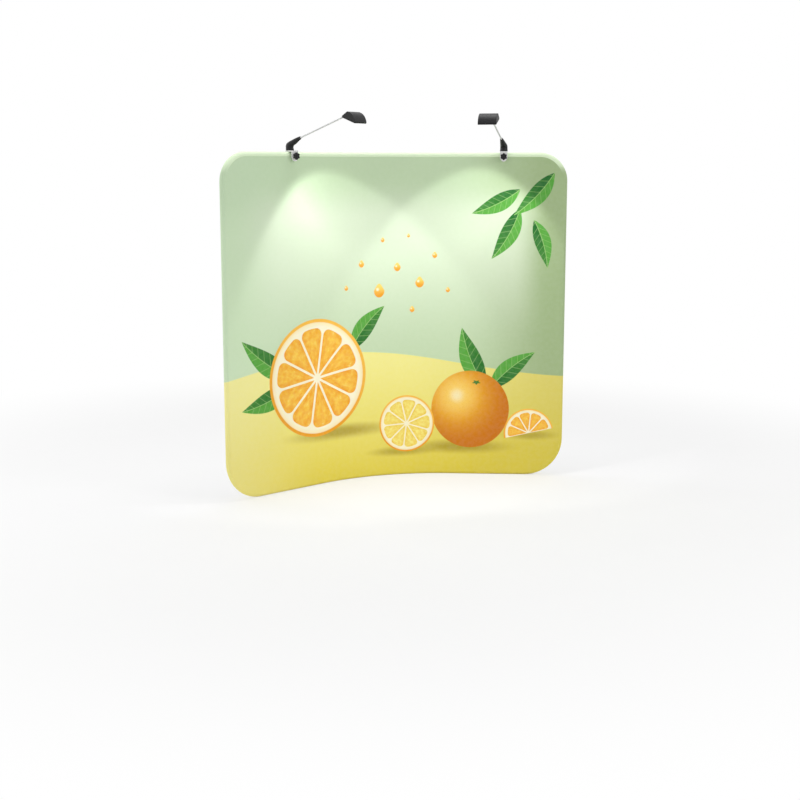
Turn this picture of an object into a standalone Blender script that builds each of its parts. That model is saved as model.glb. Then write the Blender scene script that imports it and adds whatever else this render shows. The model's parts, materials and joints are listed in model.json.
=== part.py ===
"""Curved tabletop tension fabric display with two clamp-on arm lamps.

A loop of round aluminium tubes stands on its bottom edge and carries a stretch cover like a pillowcase.
The tubes join with inner spigots and sprung snap buttons, and a centre post holds top and bottom apart.
Each lamp hooks over the top edge with a clamp, swivels on it and tilts its head at the end of a rod.

Metres, +Z up, +X to the viewer's right, the printed hollow side faces -Y.
The origin is the middle of the bottom edge, on the surface that the display stands on.
"""
import math

import bmesh
import bpy
from mathutils import Matrix, Vector

COLLECTION = "tabletop_fabric_display"
CUTTERS = "display_cutters"

# Whole display
DISPLAY_HEIGHT = 1.680
HALF_RUN = 0.940            # half of the frame's centre line, measured round the curve
BEND_RADIUS = 0.886         # plan radius of the curved middle
BEND_ANGLE = math.radians(23.0)
TOP_CORNER = 0.127          # centre line radius of the two upper corners
BOTTOM_CORNER = 0.180       # centre line radius of the two lower corners
FLAT_DEPTH = 0.0005         # the rolled edge is flattened this much where it stands

# Fits
GAP = 0.0003                # between pieces that seat on each other
OVERRUN = 0.002             # how far a cutter passes what it cuts

# Frame tubes
TUBE_RADIUS = 0.015
TUBE_WALL = 0.0015
TAIL = 0.060                # straight end on each curved tube
TOP_LEG = 0.300             # straight leg below each upper corner
BOTTOM_LEG = 0.280          # straight leg above each lower corner
JOINT_GAP = 0.0006          # between the ends of two joined tubes

# Joining spigots and snap buttons
SPIGOT_LENGTH = 0.100
SPIGOT_WALL = 0.0015
SPIGOT_FIT = 0.0008
BUTTON_RADIUS = 0.004
BUTTON_STAND = 0.0034       # how far a button stands out of the tube
BUTTON_OFFSET = 0.028       # from the tube joint to the button
BUTTON_PLAY = 0.0009        # hole radius over button radius
LEAF_LENGTH = 0.042
LEAF_WIDTH = 0.007
LEAF_THICKNESS = 0.0008

# Centre post
POST_RADIUS = 0.0125
POST_WALL = 0.0015
POST_SPLIT = 0.860          # height of the joint between its two tubes
SADDLE_LENGTH = 0.034
SADDLE_DEPTH = 0.026
SADDLE_NECK = 0.012         # saddle stock between the frame tube and the post
SADDLE_PLUG = 0.030         # how far the saddle reaches into the post
SADDLE_FIT = 0.0005

# Stretch cover
FABRIC_THICKNESS = 0.001
FABRIC_GAP = 0.0005
SEAM_ANGLE = math.radians(120.0)    # where the side seam lies, measured from the front round the tube
SEAM_GAP = 0.0005
SEAM_RISE = 0.018           # the bottom seam lies this far up the back
SEAM_STEP = 0.002
WRAP_SHARE = 2.0 / 3.0      # share of a lower corner over which the seam turns to the back
SHEET_INSET = 0.030         # where the flat of a sheet gives way to its rolled edge

# Zipper on the bottom seam of the back
ZIP_END = 0.200             # run of the frame beyond each end of the zipper
ZIP_TAPE = 0.016            # tape height
TAPE_THICKNESS = 0.0006
TEETH_HEIGHT = 0.005
TEETH_THICKNESS = 0.0013
SLIDER_LENGTH = 0.012
SLIDER_HEIGHT = 0.009
SLIDER_PLATE = 0.0012
SLIDER_INSET = 0.025        # from the zipper's end to the slider when the zipper is closed
BRIDGE_LENGTH = 0.007
BRIDGE_WIDTH = 0.0022
BRIDGE_LEG = 0.0011
BRIDGE_STAND = 0.0042
PULL_LENGTH = 0.028
PULL_WIDTH = 0.0065
PULL_THICKNESS = 0.0012
PULL_BAR = 0.0016
PULL_SLOT_LENGTH = 0.0062

# Lamps
LAMP_RUN_LEFT = -0.5365
LAMP_RUN_RIGHT = 0.630
LAMP_TURN = math.radians(12.0)      # each lamp turns this far from the wall's normal, to the middle
ARM_RISE = math.radians(19.3)

# Lamp clamp, measured from the top tube's centre: out to the front, up
CLAMP_WIDTH = 0.038
HOOK_PLATE = 0.006
HOOK_REAR_WALL = 0.005
HOOK_REAR_DROP = 0.024
TONGUE_WALL = 0.006
TONGUE_DROP = 0.029
TONGUE_TIP_WIDTH = 0.026
TONGUE_TIP_ROUND = 0.008
TONGUE_SHOULDER = 0.012     # where the tongue begins to narrow
HOOK_ROUND = 0.008
BOSS_RADIUS = 0.008
BOSS_STAND = 0.003
STUD_RADIUS = 0.006
STUD_HEIGHT = 0.010

# Clamp screw, knob and pressure pad
PAD_RADIUS = 0.009
PAD_THICKNESS = 0.005
PAD_CUP = 0.0022
SCREW_DROP = 0.004          # the screw's axis lies this far under the tube's
SCREW_TRAVEL = 0.006
SCREW_RADIUS = 0.0038
SCREW_HOLE_PLAY = 0.0005
KNOB_RADIUS = 0.0160
KNOB_LOBE = 0.0022
KNOB_LOBES = 6
KNOB_LOBE_STEPS = 5
KNOB_THICKNESS = 0.012
KNOB_ROUND = 0.002
KNOB_HUB_RADIUS = 0.0075
KNOB_HUB_STAND = 0.002
KNOB_BOSS_GAP = 0.0012

# Elbow, from the swivel seat
ELBOW_RADIUS = 0.0205
SOCKET_DEPTH = 0.016
NOSE_FORWARD = 0.062
NOSE_HEIGHT = 0.0600        # above the swivel seat
INLET_RADIUS = 0.0052
INLET_BORE = 0.0026
INLET_LENGTH = 0.009
INLET_HEIGHT = 0.018
INLET_REACH = 0.0275        # outer face of the inlet, behind the swivel axis
# Sections of the elbow from seat to nose: its rear edge forward and up, its front edge forward and up, as
# shares of the nose's place, and its half width as a share of the elbow's radius
ELBOW_SHARES = ((-0.403, 0.0, 0.266, 0.0, 1.0), (-0.406, 0.167, 0.21, 0.142, 0.951),
                (-0.403, 0.367, 0.194, 0.25, 0.927), (-0.355, 0.55, 0.234, 0.333, 0.902),
                (-0.161, 0.683, 0.323, 0.417, 0.83), (0.194, 0.842, 0.532, 0.52, 0.683),
                (0.613, 1.008, 0.82, 0.75, 0.512), (0.961, 1.113, 1.039, 0.887, 0.351))

# Arm rod
ARM_LENGTH = 0.300          # from the nose to the tilt axis
ARM_RADIUS = 0.00375
EYE_RADIUS = 0.0060
EYE_WIDTH = 0.010
PIN_RADIUS = 0.0020

# Lamp head, along and above its own light opening, from the tilt axis
HEAD_TILT = math.radians(20.9)
HEAD_WIDTH = 0.091
HEAD_LENGTH = 0.081
HEAD_HEIGHT = 0.037
HEAD_WALL = 0.0024
HEAD_BACK = 0.0070          # tilt axis to the rear edge of the opening
HEAD_DROP = 0.0085          # tilt axis above the light opening
HEAD_ROUND = 0.003
BEZEL_ROUND = 0.001
EAR_THICKNESS = 0.004
EAR_RADIUS = 0.0062
EAR_ROOT = 0.012            # how far the ears run into the housing
EAR_FOOT = 0.001
PIN_HEAD = 0.0012
PIN_HEAD_RADIUS = 0.0034
BEZEL_DEPTH = 0.0042
BEZEL_RIM = 0.007
BEZEL_NOSE = 0.0115
LENS_NOSE = 0.008
LENS_THICKNESS = 0.002
BOARD_THICKNESS = 0.0016
BOARD_HEIGHT = 0.0115       # underside of the light board above the opening
BOARD_LENGTH = 0.040
BOARD_WIDTH = 0.070
BOARD_FORWARD = 0.036       # middle of the board from the rear edge
BOARD_BOSS_RADIUS = 0.003
BOARD_BOSS_SPREAD = 0.022
CHIP_SIZE = 0.0035
CHIP_STAND = 0.0009
CHIP_ROWS = 2
CHIP_COLUMNS = 4
# Along and above the light opening, as shares of the head's length and height
NOSE_SHARES = ((1.0, 0.08), (0.94, 0.30), (0.81, 0.64), (0.64, 0.90), (0.48, 1.0))
REAR_SHARES = ((0.30, 1.0), (0.25, 0.96), (0.05, 0.28), (0.0, 0.12))

# Steps that round shapes are drawn with
BEND_STEPS = 12
CORNER_STEPS = 6
ROLL_STEPS = 10
BACK_ROLL_STEPS = 5
RING_SIDES = 12
SMALL_SIDES = 16
WELD = 0.00001
# How much a point on a smooth curve halfway between two others takes of each of them, and of each next one
CURVE_NEAR_SHARE = 0.5625
CURVE_NEXT_SHARE = -0.0625

# Worked out from the sizes above
BEND_RUN = BEND_RADIUS * BEND_ANGLE
ZIP_HALF = HALF_RUN - ZIP_END
SLIDER_REST = ZIP_HALF - SLIDER_INSET
ROLL_INNER = TUBE_RADIUS + FABRIC_GAP
ROLL_RADIUS = ROLL_INNER + FABRIC_THICKNESS
LOW = ROLL_RADIUS - FLAT_DEPTH
HIGH = DISPLAY_HEIGHT - ROLL_RADIUS
SPIGOT_RADIUS = TUBE_RADIUS - TUBE_WALL - SPIGOT_FIT
POST_SPIGOT_RADIUS = POST_RADIUS - POST_WALL - SPIGOT_FIT
SWIVEL_SEAT = ROLL_RADIUS + GAP + HOOK_PLATE + GAP
TONGUE_INNER = ROLL_RADIUS + GAP + PAD_THICKNESS + SCREW_TRAVEL + JOINT_GAP
UP = Vector((0.0, 0.0, 1.0))
SIDEWAYS = Matrix.Rotation(math.pi / 2.0, 4, "X")       # an outline's plane stood up along X and Z
FACING = Matrix(((0, 0, 1, 0), (1, 0, 0, 0), (0, 1, 0, 0), (0, 0, 0, 1)))   # stood up along Y and Z

ALUMINIUM = ((0.72, 0.73, 0.75), 0.32, 1.0)
STEEL = ((0.62, 0.63, 0.65), 0.30, 1.0)
SPRING_STEEL = ((0.45, 0.46, 0.50), 0.35, 1.0)
SILVER_ROD = ((0.78, 0.78, 0.79), 0.25, 1.0)
BLACK_PLASTIC = ((0.022, 0.022, 0.024), 0.42, 0.0)
GREY_PLASTIC = ((0.20, 0.20, 0.21), 0.55, 0.0)
PALE_PLASTIC = ((0.82, 0.82, 0.80), 0.38, 0.0)
RUBBER = ((0.05, 0.05, 0.05), 0.80, 0.0)
PRINTED_FABRIC = ((0.68, 0.80, 0.45), 0.85, 0.0)
WHITE_FABRIC = ((0.86, 0.87, 0.84), 0.88, 0.0)
WHITE_TAPE = ((0.80, 0.81, 0.79), 0.80, 0.0)
CLEAR_LENS = ((0.88, 0.90, 0.90), 0.18, 0.0)
BOARD_WHITE = ((0.75, 0.76, 0.74), 0.45, 0.0)


# Places on the curved wall

def heading(run):
    """Angle that the wall has turned by at a run from its middle."""
    return max(-BEND_RUN, min(BEND_RUN, run)) / BEND_RADIUS


def along(run):
    """Direction of the frame's centre line in plan, to the viewer's right."""
    return Vector((math.cos(heading(run)), -math.sin(heading(run)), 0.0))


def front(run):
    """Direction square to the wall, on its hollow printed side."""
    return Vector((-math.sin(heading(run)), -math.cos(heading(run)), 0.0))


def wall_point(run, height):
    """A point of the frame's centre surface: an arc in plan, with a straight run at each end."""
    turned = heading(run)
    place = Vector((BEND_RADIUS * math.sin(turned), BEND_RADIUS * (math.cos(turned) - 1.0), height))
    return place + along(run) * (run - turned * BEND_RADIUS)


def bend_runs(reach):
    """Runs across the middle, from one straight end to the other."""
    steps = [BEND_RUN * (2.0 * i / BEND_STEPS - 1.0) for i in range(BEND_STEPS + 1)]
    return [-reach] + steps + [reach]


def corner_points(top, side):
    """Run, height and outward direction round one corner, from the upright to the long edge."""
    radius = TOP_CORNER if top else BOTTOM_CORNER
    lift = 1.0 if top else -1.0
    centre_run = side * (HALF_RUN - radius)
    centre_height = HIGH - radius if top else LOW + radius
    points = []
    for i in range(CORNER_STEPS + 1):
        turn = math.pi / 2.0 * i / CORNER_STEPS
        out = (side * math.cos(turn), lift * math.sin(turn))
        points.append((centre_run + radius * out[0], centre_height + radius * out[1], out))
    return points


def edge_points(top):
    """The long edge with its two corners, from left to right."""
    height, lift = (HIGH, 1.0) if top else (LOW, -1.0)
    middle = [(run, height, (0.0, lift)) for run in bend_runs(BEND_RUN + TAIL)]
    return corner_points(top, -1.0) + middle + corner_points(top, 1.0)[::-1]


def smoothed(rows):
    """The rows of numbers, with one more between each two, on a smooth curve through them all."""
    rows = [Vector(row) for row in rows]
    rows = [rows[0] * 2.0 - rows[1]] + rows + [rows[-1] * 2.0 - rows[-2]]
    made = []
    for before, first, second, after in zip(rows, rows[1:], rows[2:], rows[3:]):
        made += [first, (first + second) * CURVE_NEAR_SHARE + (before + after) * CURVE_NEXT_SHARE]
    return made + [rows[-2]]


# Object helpers

def clear_scene():
    for item in list(bpy.data.objects):
        bpy.data.objects.remove(item, do_unlink=True)
    for group in list(bpy.data.collections):
        bpy.data.collections.remove(group)


def make_collection(name):
    group = bpy.data.collections.new(name)
    bpy.context.scene.collection.children.link(group)
    return group


def make_material(name, look):
    colour, roughness, metallic = look
    material = bpy.data.materials.new(name)
    material.use_nodes = True
    shader = material.node_tree.nodes["Principled BSDF"]
    shader.inputs["Base Color"].default_value = (*colour, 1.0)
    shader.inputs["Roughness"].default_value = roughness
    shader.inputs["Metallic"].default_value = metallic
    return material


def place(item, look=None):
    """Put an object with the parts, or with the cutters where it has no look."""
    for group in list(item.users_collection):
        group.objects.unlink(item)
    bpy.data.collections[COLLECTION if look else CUTTERS].objects.link(item)
    if look:
        item.data.materials.clear()
        item.data.materials.append(make_material(item.name, look))
    else:
        item.hide_render = True
        item.display_type = "WIRE"
    return item


def frame_matrix(origin, x_axis, z_axis):
    """A place with its own X and Z axes."""
    z_axis = z_axis.normalized()
    x_axis = (x_axis - z_axis * x_axis.dot(z_axis)).normalized()
    y_axis = z_axis.cross(x_axis)
    matrix = Matrix((x_axis, y_axis, z_axis)).transposed().to_4x4()
    matrix.translation = origin
    return matrix


def from_bmesh(name, shape, matrix=None, look=None, smooth=True):
    mesh = bpy.data.meshes.new(name)
    shape.to_mesh(mesh)
    shape.free()
    item = bpy.data.objects.new(name, mesh)
    bpy.context.scene.collection.objects.link(item)
    item.matrix_world = matrix or Matrix.Identity(4)
    if smooth:
        mesh.shade_smooth()
        mesh.set_sharp_from_angle(angle=math.radians(35.0))
    return place(item, look)


def box(name, size, centre, matrix=None, look=None):
    shape = bmesh.new()
    bmesh.ops.create_cube(shape, size=1.0)
    bmesh.ops.scale(shape, vec=Vector(size), verts=shape.verts)
    bmesh.ops.translate(shape, vec=Vector(centre), verts=shape.verts)
    return from_bmesh(name, shape, matrix, look, smooth=False)


def cylinder(name, radius, start, end, matrix=None, look=None, sides=SMALL_SIDES):
    """A rod between two points of its own frame."""
    start, end = Vector(start), Vector(end)
    shape = bmesh.new()
    bmesh.ops.create_cone(shape, cap_ends=True, segments=sides, radius1=radius, radius2=radius,
                          depth=(end - start).length)
    turn = UP.rotation_difference(end - start).to_matrix().to_4x4()
    bmesh.ops.transform(shape, matrix=Matrix.Translation((start + end) / 2.0) @ turn, verts=shape.verts)
    return from_bmesh(name, shape, matrix, look)


def turned(name, profile, matrix=None, look=None, steps=SMALL_SIDES):
    """A solid of revolution about its own Z: radius and height, from the top centre to the bottom centre."""
    shape = bmesh.new()
    points = [shape.verts.new((radius, 0.0, height)) for radius, height in profile]
    for upper, lower in zip(points[:-1], points[1:]):
        shape.edges.new((upper, lower))
    item = from_bmesh(name, shape, matrix, look)
    screw = item.modifiers.new("turn", "SCREW")
    screw.steps = steps
    screw.render_steps = steps
    screw.use_merge_vertices = True
    screw.merge_threshold = WELD
    return item


def outline_solid(name, points, thickness, matrix=None, look=None, rounding=0.0, holes=()):
    """A flat outline in its own XY plane, as thick as said and centred on that plane."""
    curve = bpy.data.curves.new(name, "CURVE")
    curve.dimensions = "2D"
    curve.fill_mode = "BOTH"
    curve.extrude = thickness / 2.0
    for loop in (points, *holes):
        spline = curve.splines.new("POLY")
        spline.points.add(len(loop) - 1)
        for point, (x, y) in zip(spline.points, loop):
            point.co = (x, y, 0.0, 1.0)
        spline.use_cyclic_u = True
    item = to_mesh_object(name, curve, matrix, look)
    if rounding > 0.0:
        bevel = item.modifiers.new("rounded edges", "BEVEL")
        bevel.width = rounding
        bevel.segments = 2
        bevel.limit_method = "ANGLE"
        bevel.angle_limit = math.radians(50.0)
    return item


def to_mesh_object(name, curve, matrix=None, look=None):
    """Turn a curve into a welded mesh object."""
    guide = bpy.data.objects.new(name + "_curve", curve)
    bpy.context.scene.collection.objects.link(guide)
    mesh = bpy.data.meshes.new_from_object(guide.evaluated_get(bpy.context.evaluated_depsgraph_get()))
    bpy.data.objects.remove(guide)
    shape = bmesh.new()
    shape.from_mesh(mesh)
    bpy.data.meshes.remove(mesh)
    bmesh.ops.remove_doubles(shape, verts=shape.verts, dist=WELD)
    bmesh.ops.recalc_face_normals(shape, faces=shape.faces)
    return from_bmesh(name, shape, matrix, look)


def tube(name, points, radius, wall, look):
    """A hollow tube along points: an open pipe with its wall turned inward."""
    curve = bpy.data.curves.new(name, "CURVE")
    curve.dimensions = "3D"
    curve.bevel_depth = radius
    curve.bevel_resolution = (RING_SIDES - 4) // 2
    curve.use_fill_caps = False
    spline = curve.splines.new("POLY")
    spline.points.add(len(points) - 1)
    for point, where in zip(spline.points, points):
        point.co = (*where, 1.0)
    item = to_mesh_object(name, curve, None, look)
    shell = item.modifiers.new("wall", "SOLIDIFY")
    shell.thickness = wall
    shell.offset = -1.0
    shell.use_even_offset = True
    return item


def loft(name, rings, matrix=None, look=None):
    """A closed skin over a row of rings, each going round counterclockwise when seen from the last one."""
    shape = bmesh.new()
    rows = [[shape.verts.new(point) for point in ring] for ring in rings]
    for lower, upper in zip(rows[:-1], rows[1:]):
        for i in range(len(lower)):
            after = (i + 1) % len(lower)
            shape.faces.new((lower[i], lower[after], upper[after], upper[i]))
    shape.faces.new(rows[0][::-1])
    shape.faces.new(rows[-1])
    return from_bmesh(name, shape, matrix, look)


def boolean(item, tool, operation="DIFFERENCE"):
    change = item.modifiers.new(tool.name, "BOOLEAN")
    change.operation = operation
    change.solver = "EXACT"
    change.object = tool


def circle(radius, sides=SMALL_SIDES):
    turns = [2.0 * math.pi * i / sides for i in range(sides)]
    return [(radius * math.cos(t), radius * math.sin(t)) for t in turns]


def rectangle(low, high):
    return [low, (high[0], low[1]), high, (low[0], high[1])]


# Tube frame

def joint_places():
    """Every tube joint: name, centre, direction to the button's side, and direction into the panel."""
    places = {}
    for side, side_name in ((-1.0, "left"), (1.0, "right")):
        reach = side * (BEND_RUN + TAIL)
        outward = along(reach) * side
        places["top_" + side_name] = (wall_point(reach, HIGH), outward, -UP)
        places["bottom_" + side_name] = (wall_point(reach, LOW), outward, UP)
        edge = side * HALF_RUN
        upper = HIGH - TOP_CORNER - TOP_LEG
        lower = LOW + BOTTOM_CORNER + BOTTOM_LEG
        places["upper_" + side_name] = (wall_point(edge, upper), UP.copy(), -outward)
        places["lower_" + side_name] = (wall_point(edge, lower), -UP, -outward)
    return places


def joined_tubes(places):
    """The curved tubes, the corners and the uprights, with half of each joint gap cut from each end."""
    half_gap = JOINT_GAP / 2.0
    reach = BEND_RUN + TAIL
    tubes = {}
    for level, height in (("top", HIGH), ("bottom", LOW)):
        runs = bend_runs(reach - half_gap)
        points = [wall_point(run, height) for run in runs]
        tubes[level + "_curve_tube"] = tube(level + "_curve_tube", points, TUBE_RADIUS, TUBE_WALL, ALUMINIUM)
    for side, side_name in ((-1.0, "left"), (1.0, "right")):
        edge = side * HALF_RUN
        ends = {"top": places["upper_" + side_name][0].z, "bottom": places["lower_" + side_name][0].z}
        for level, lift in (("top", 1.0), ("bottom", -1.0)):
            top = level == "top"
            height = HIGH if top else LOW
            points = [wall_point(edge, ends[level] + lift * half_gap)]
            points += [wall_point(run, z) for run, z, _ in corner_points(top, side)]
            points += [wall_point(side * (reach + half_gap), height)]
            name = level + "_corner_tube_" + side_name
            tubes[name] = tube(name, points, TUBE_RADIUS, TUBE_WALL, ALUMINIUM)
        points = [wall_point(edge, ends["bottom"] + half_gap), wall_point(edge, ends["top"] - half_gap)]
        name = "upright_tube_" + side_name
        tubes[name] = tube(name, points, TUBE_RADIUS, TUBE_WALL, ALUMINIUM)
    return tubes


def snap_joint(name, centre, axis, inward, outer_tube, tube_radius, spigot_radius):
    """A spigot, its sprung snap button, and the button's hole through the spigot and the outer tube."""
    half = SPIGOT_LENGTH / 2.0
    spigot = tube("spigot_" + name, [centre - axis * half, centre + axis * half], spigot_radius,
                  SPIGOT_WALL, ALUMINIUM)
    bore = spigot_radius - SPIGOT_WALL
    leaf_top = math.sqrt(bore ** 2 - (LEAF_WIDTH / 2.0) ** 2) - 2.0 * GAP
    root = centre + axis * (BUTTON_OFFSET - LEAF_LENGTH)
    local = frame_matrix(root + inward * leaf_top, axis, inward)
    leaf = box("snap_button_" + name, (LEAF_LENGTH + BUTTON_RADIUS, LEAF_WIDTH, LEAF_THICKNESS),
               ((LEAF_LENGTH + BUTTON_RADIUS) / 2.0, 0.0, -LEAF_THICKNESS / 2.0), local, SPRING_STEEL)
    stand = tube_radius + BUTTON_STAND - leaf_top
    crown = BUTTON_RADIUS / 2.0
    profile = [(0.0, stand), (crown, stand - crown / 4.0), (BUTTON_RADIUS, stand - crown),
               (BUTTON_RADIUS, -LEAF_THICKNESS / 2.0), (0.0, -LEAF_THICKNESS / 2.0)]
    button = turned("button_" + name, profile, local @ Matrix.Translation((LEAF_LENGTH, 0.0, 0.0)), steps=12)
    boolean(leaf, button, "UNION")
    hole = cylinder("button_hole_" + name, BUTTON_RADIUS + BUTTON_PLAY, (LEAF_LENGTH, 0.0, 0.0),
                    (LEAF_LENGTH, 0.0, tube_radius + OVERRUN - leaf_top), local)
    boolean(spigot, hole)
    boolean(outer_tube, hole)


def build_frame():
    places = joint_places()
    tubes = joined_tubes(places)
    for name, (centre, axis, inward) in places.items():
        level, side_name = name.split("_")
        corner = "top" if level in ("top", "upper") else "bottom"
        outer_tube = tubes[corner + "_corner_tube_" + side_name]
        snap_joint(name, centre, axis, inward, outer_tube, TUBE_RADIUS, SPIGOT_RADIUS)


def build_post():
    """The post between the top and bottom tubes, with a saddle at each end."""
    seat = TUBE_RADIUS + SADDLE_NECK
    spans = {"lower": (LOW + seat + GAP, POST_SPLIT - JOINT_GAP / 2.0),
             "upper": (POST_SPLIT + JOINT_GAP / 2.0, HIGH - seat - GAP)}
    tubes = {}
    for name, (low, high) in spans.items():
        tubes[name] = tube("post_tube_" + name, [Vector((0.0, 0.0, low)), Vector((0.0, 0.0, high))],
                           POST_RADIUS, POST_WALL, ALUMINIUM)
    snap_joint("post", Vector((0.0, 0.0, POST_SPLIT)), UP, along(0.0), tubes["upper"], POST_RADIUS,
               POST_SPIGOT_RADIUS)
    for name, height, lift in (("top", HIGH, -1.0), ("bottom", LOW, 1.0)):
        local = frame_matrix(Vector((0.0, 0.0, height)), along(0.0), UP * lift)
        saddle = box("post_saddle_" + name, (SADDLE_LENGTH, SADDLE_DEPTH, seat), (0.0, 0.0, seat / 2.0),
                     local, GREY_PLASTIC)
        plug = cylinder("saddle_plug_" + name, POST_SPIGOT_RADIUS, (0.0, 0.0, seat / 2.0),
                        (0.0, 0.0, seat + SADDLE_PLUG), local)
        boolean(saddle, plug, "UNION")
        half = SADDLE_LENGTH / 2.0 + OVERRUN
        notch = cylinder("saddle_notch_" + name, TUBE_RADIUS + SADDLE_FIT, (-half, 0.0, 0.0),
                         (half, 0.0, 0.0), local, sides=2 * RING_SIDES)
        boolean(saddle, notch)


# Stretch cover

def roll_section(length, radius):
    """Front offset and outward offset at a length round the rolled edge, measured from the front."""
    half_round = math.pi * radius
    if length < 0.0:
        return radius, length
    if length > half_round:
        return -radius, half_round - length
    return radius * math.cos(length / radius), radius * math.sin(length / radius)


def seam_lengths(out):
    """Where the front sheet leaves the round of the tube, and where its edge lies."""
    down = math.asin(max(0.0, -out[1])) / (math.pi / 2.0)
    wrap = min(1.0, down / WRAP_SHARE)
    rise = max(0.0, (down - WRAP_SHARE) / (1.0 - WRAP_SHARE))
    round_length = ROLL_INNER * (SEAM_ANGLE + (math.pi - SEAM_ANGLE) * wrap)
    return round_length, round_length + SEAM_STEP + (SEAM_RISE - SEAM_STEP) * rise


def front_lengths(out):
    """Lengths round the section at which the front sheet has its rings."""
    round_length, edge = seam_lengths(out)
    return [-SHEET_INSET] + [round_length * i / ROLL_STEPS for i in range(ROLL_STEPS + 1)] + [edge]


def back_lengths(out):
    """The same for the back sheet, from its flat down to the seam."""
    half_round = math.pi * ROLL_INNER
    edge = seam_lengths(out)[1] + SEAM_GAP
    start = half_round + max(0.0, edge - half_round) + SEAM_STEP
    steps = [start + (edge - start) * i / BACK_ROLL_STEPS for i in range(BACK_ROLL_STEPS + 1)]
    return [half_round + SHEET_INSET] + steps


def sheet(name, lengths_at, facing, look):
    """One sheet of the cover: a flat filled across the frame, and rings that roll over its edge."""
    bottom, top = edge_points(False), edge_points(True)
    loop = bottom + top[::-1]
    shape = bmesh.new()
    rings = []
    for step in range(len(lengths_at((0.0, 1.0)))):
        ring = []
        for run, height, out in loop:
            forward, outward = roll_section(lengths_at(out)[step], ROLL_INNER)
            where = wall_point(run, height) + front(run) * forward
            where += (along(run) * out[0] + UP * out[1]) * outward
            ring.append(shape.verts.new(where))
        rings.append(ring)
    count, last = len(loop), len(bottom) - 1
    for i in range(last):
        shape.faces.new((rings[0][i], rings[0][i + 1], rings[0][count - 2 - i], rings[0][count - 1 - i]))
    for inner, outer in zip(rings[:-1], rings[1:]):
        for i in range(count):
            after = (i + 1) % count
            shape.faces.new((inner[i], outer[i], outer[after], inner[after]))
    if facing < 0.0:
        bmesh.ops.reverse_faces(shape, faces=shape.faces)
    item = from_bmesh(name, shape, None, look)
    shell = item.modifiers.new("cloth thickness", "SOLIDIFY")
    shell.thickness = FABRIC_THICKNESS
    shell.offset = 1.0
    shell.use_even_offset = True
    return item


def build_cover():
    printed = sheet("fabric_front", front_lengths, 1.0, PRINTED_FABRIC)
    sheet("fabric_back", back_lengths, -1.0, WHITE_FABRIC)
    reach = HALF_RUN + ROLL_RADIUS
    depth = 2.0 * BEND_RADIUS
    ground = box("ground_cut", (2.0 * reach + OVERRUN, depth, ROLL_RADIUS), (0.0, 0.0, -ROLL_RADIUS / 2.0))
    boolean(printed, ground)


def ribbon(name, low, high, offset, thickness, half, look):
    """An upright ribbon that follows the back of the wall."""
    stations = [-half, -BEND_RUN - TAIL] + bend_runs(BEND_RUN + TAIL)[1:-1] + [BEND_RUN + TAIL, half]
    shape = bmesh.new()
    columns = []
    for run in stations:
        foot = wall_point(run, low) - front(run) * offset
        columns.append((shape.verts.new(foot), shape.verts.new(foot + UP * (high - low))))
    for left, right in zip(columns[:-1], columns[1:]):
        shape.faces.new((right[0], left[0], left[1], right[1]))
    item = from_bmesh(name, shape, None, look, smooth=False)
    shell = item.modifiers.new("ribbon thickness", "SOLIDIFY")
    shell.thickness = thickness
    shell.offset = 1.0
    shell.use_even_offset = True


def build_zipper():
    """The zipper along the bottom seam, on the outside of the back."""
    seam = LOW + SEAM_RISE
    tape_face = ROLL_RADIUS + GAP
    teeth_face = tape_face + TAPE_THICKNESS + GAP
    teeth_top = teeth_face + TEETH_THICKNESS
    slider_top = teeth_top + GAP + SLIDER_PLATE
    ribbon("zipper_tape", seam - ZIP_TAPE / 2.0, seam + ZIP_TAPE / 2.0, tape_face, TAPE_THICKNESS,
           ZIP_HALF, WHITE_TAPE)
    ribbon("zipper_teeth", seam - TEETH_HEIGHT / 2.0, seam + TEETH_HEIGHT / 2.0, teeth_face,
           TEETH_THICKNESS, ZIP_HALF - SLIDER_LENGTH / 2.0, WHITE_TAPE)
    local = frame_matrix(wall_point(SLIDER_REST, seam), along(SLIDER_REST), -front(SLIDER_REST))
    build_slider(local, teeth_face, teeth_top + GAP, slider_top)
    build_pull(local, slider_top)


def build_slider(local, low, channel_top, high):
    """The slider straddles the teeth and carries an arch for its pull."""
    slider = box("zipper_slider", (SLIDER_LENGTH, SLIDER_HEIGHT, high - low), (0.0, 0.0, (low + high) / 2.0),
                 local, STEEL)
    depth = channel_top - low + OVERRUN
    channel = box("slider_channel", (SLIDER_LENGTH + OVERRUN, TEETH_HEIGHT + 2.0 * GAP, depth),
                  (0.0, 0.0, channel_top - depth / 2.0), local)
    half, root, stand = BRIDGE_LENGTH / 2.0, high - SLIDER_PLATE / 2.0, high + BRIDGE_STAND
    leg, roof = half - BRIDGE_LEG, stand - BRIDGE_LEG
    arch = [(-half, root), (-leg, root), (-leg, roof), (leg, roof), (leg, root), (half, root),
            (half, stand), (-half, stand)]
    bridge = outline_solid("slider_bridge", arch, BRIDGE_WIDTH, local @ SIDEWAYS)
    boolean(slider, channel)
    boolean(slider, bridge, "UNION")


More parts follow.
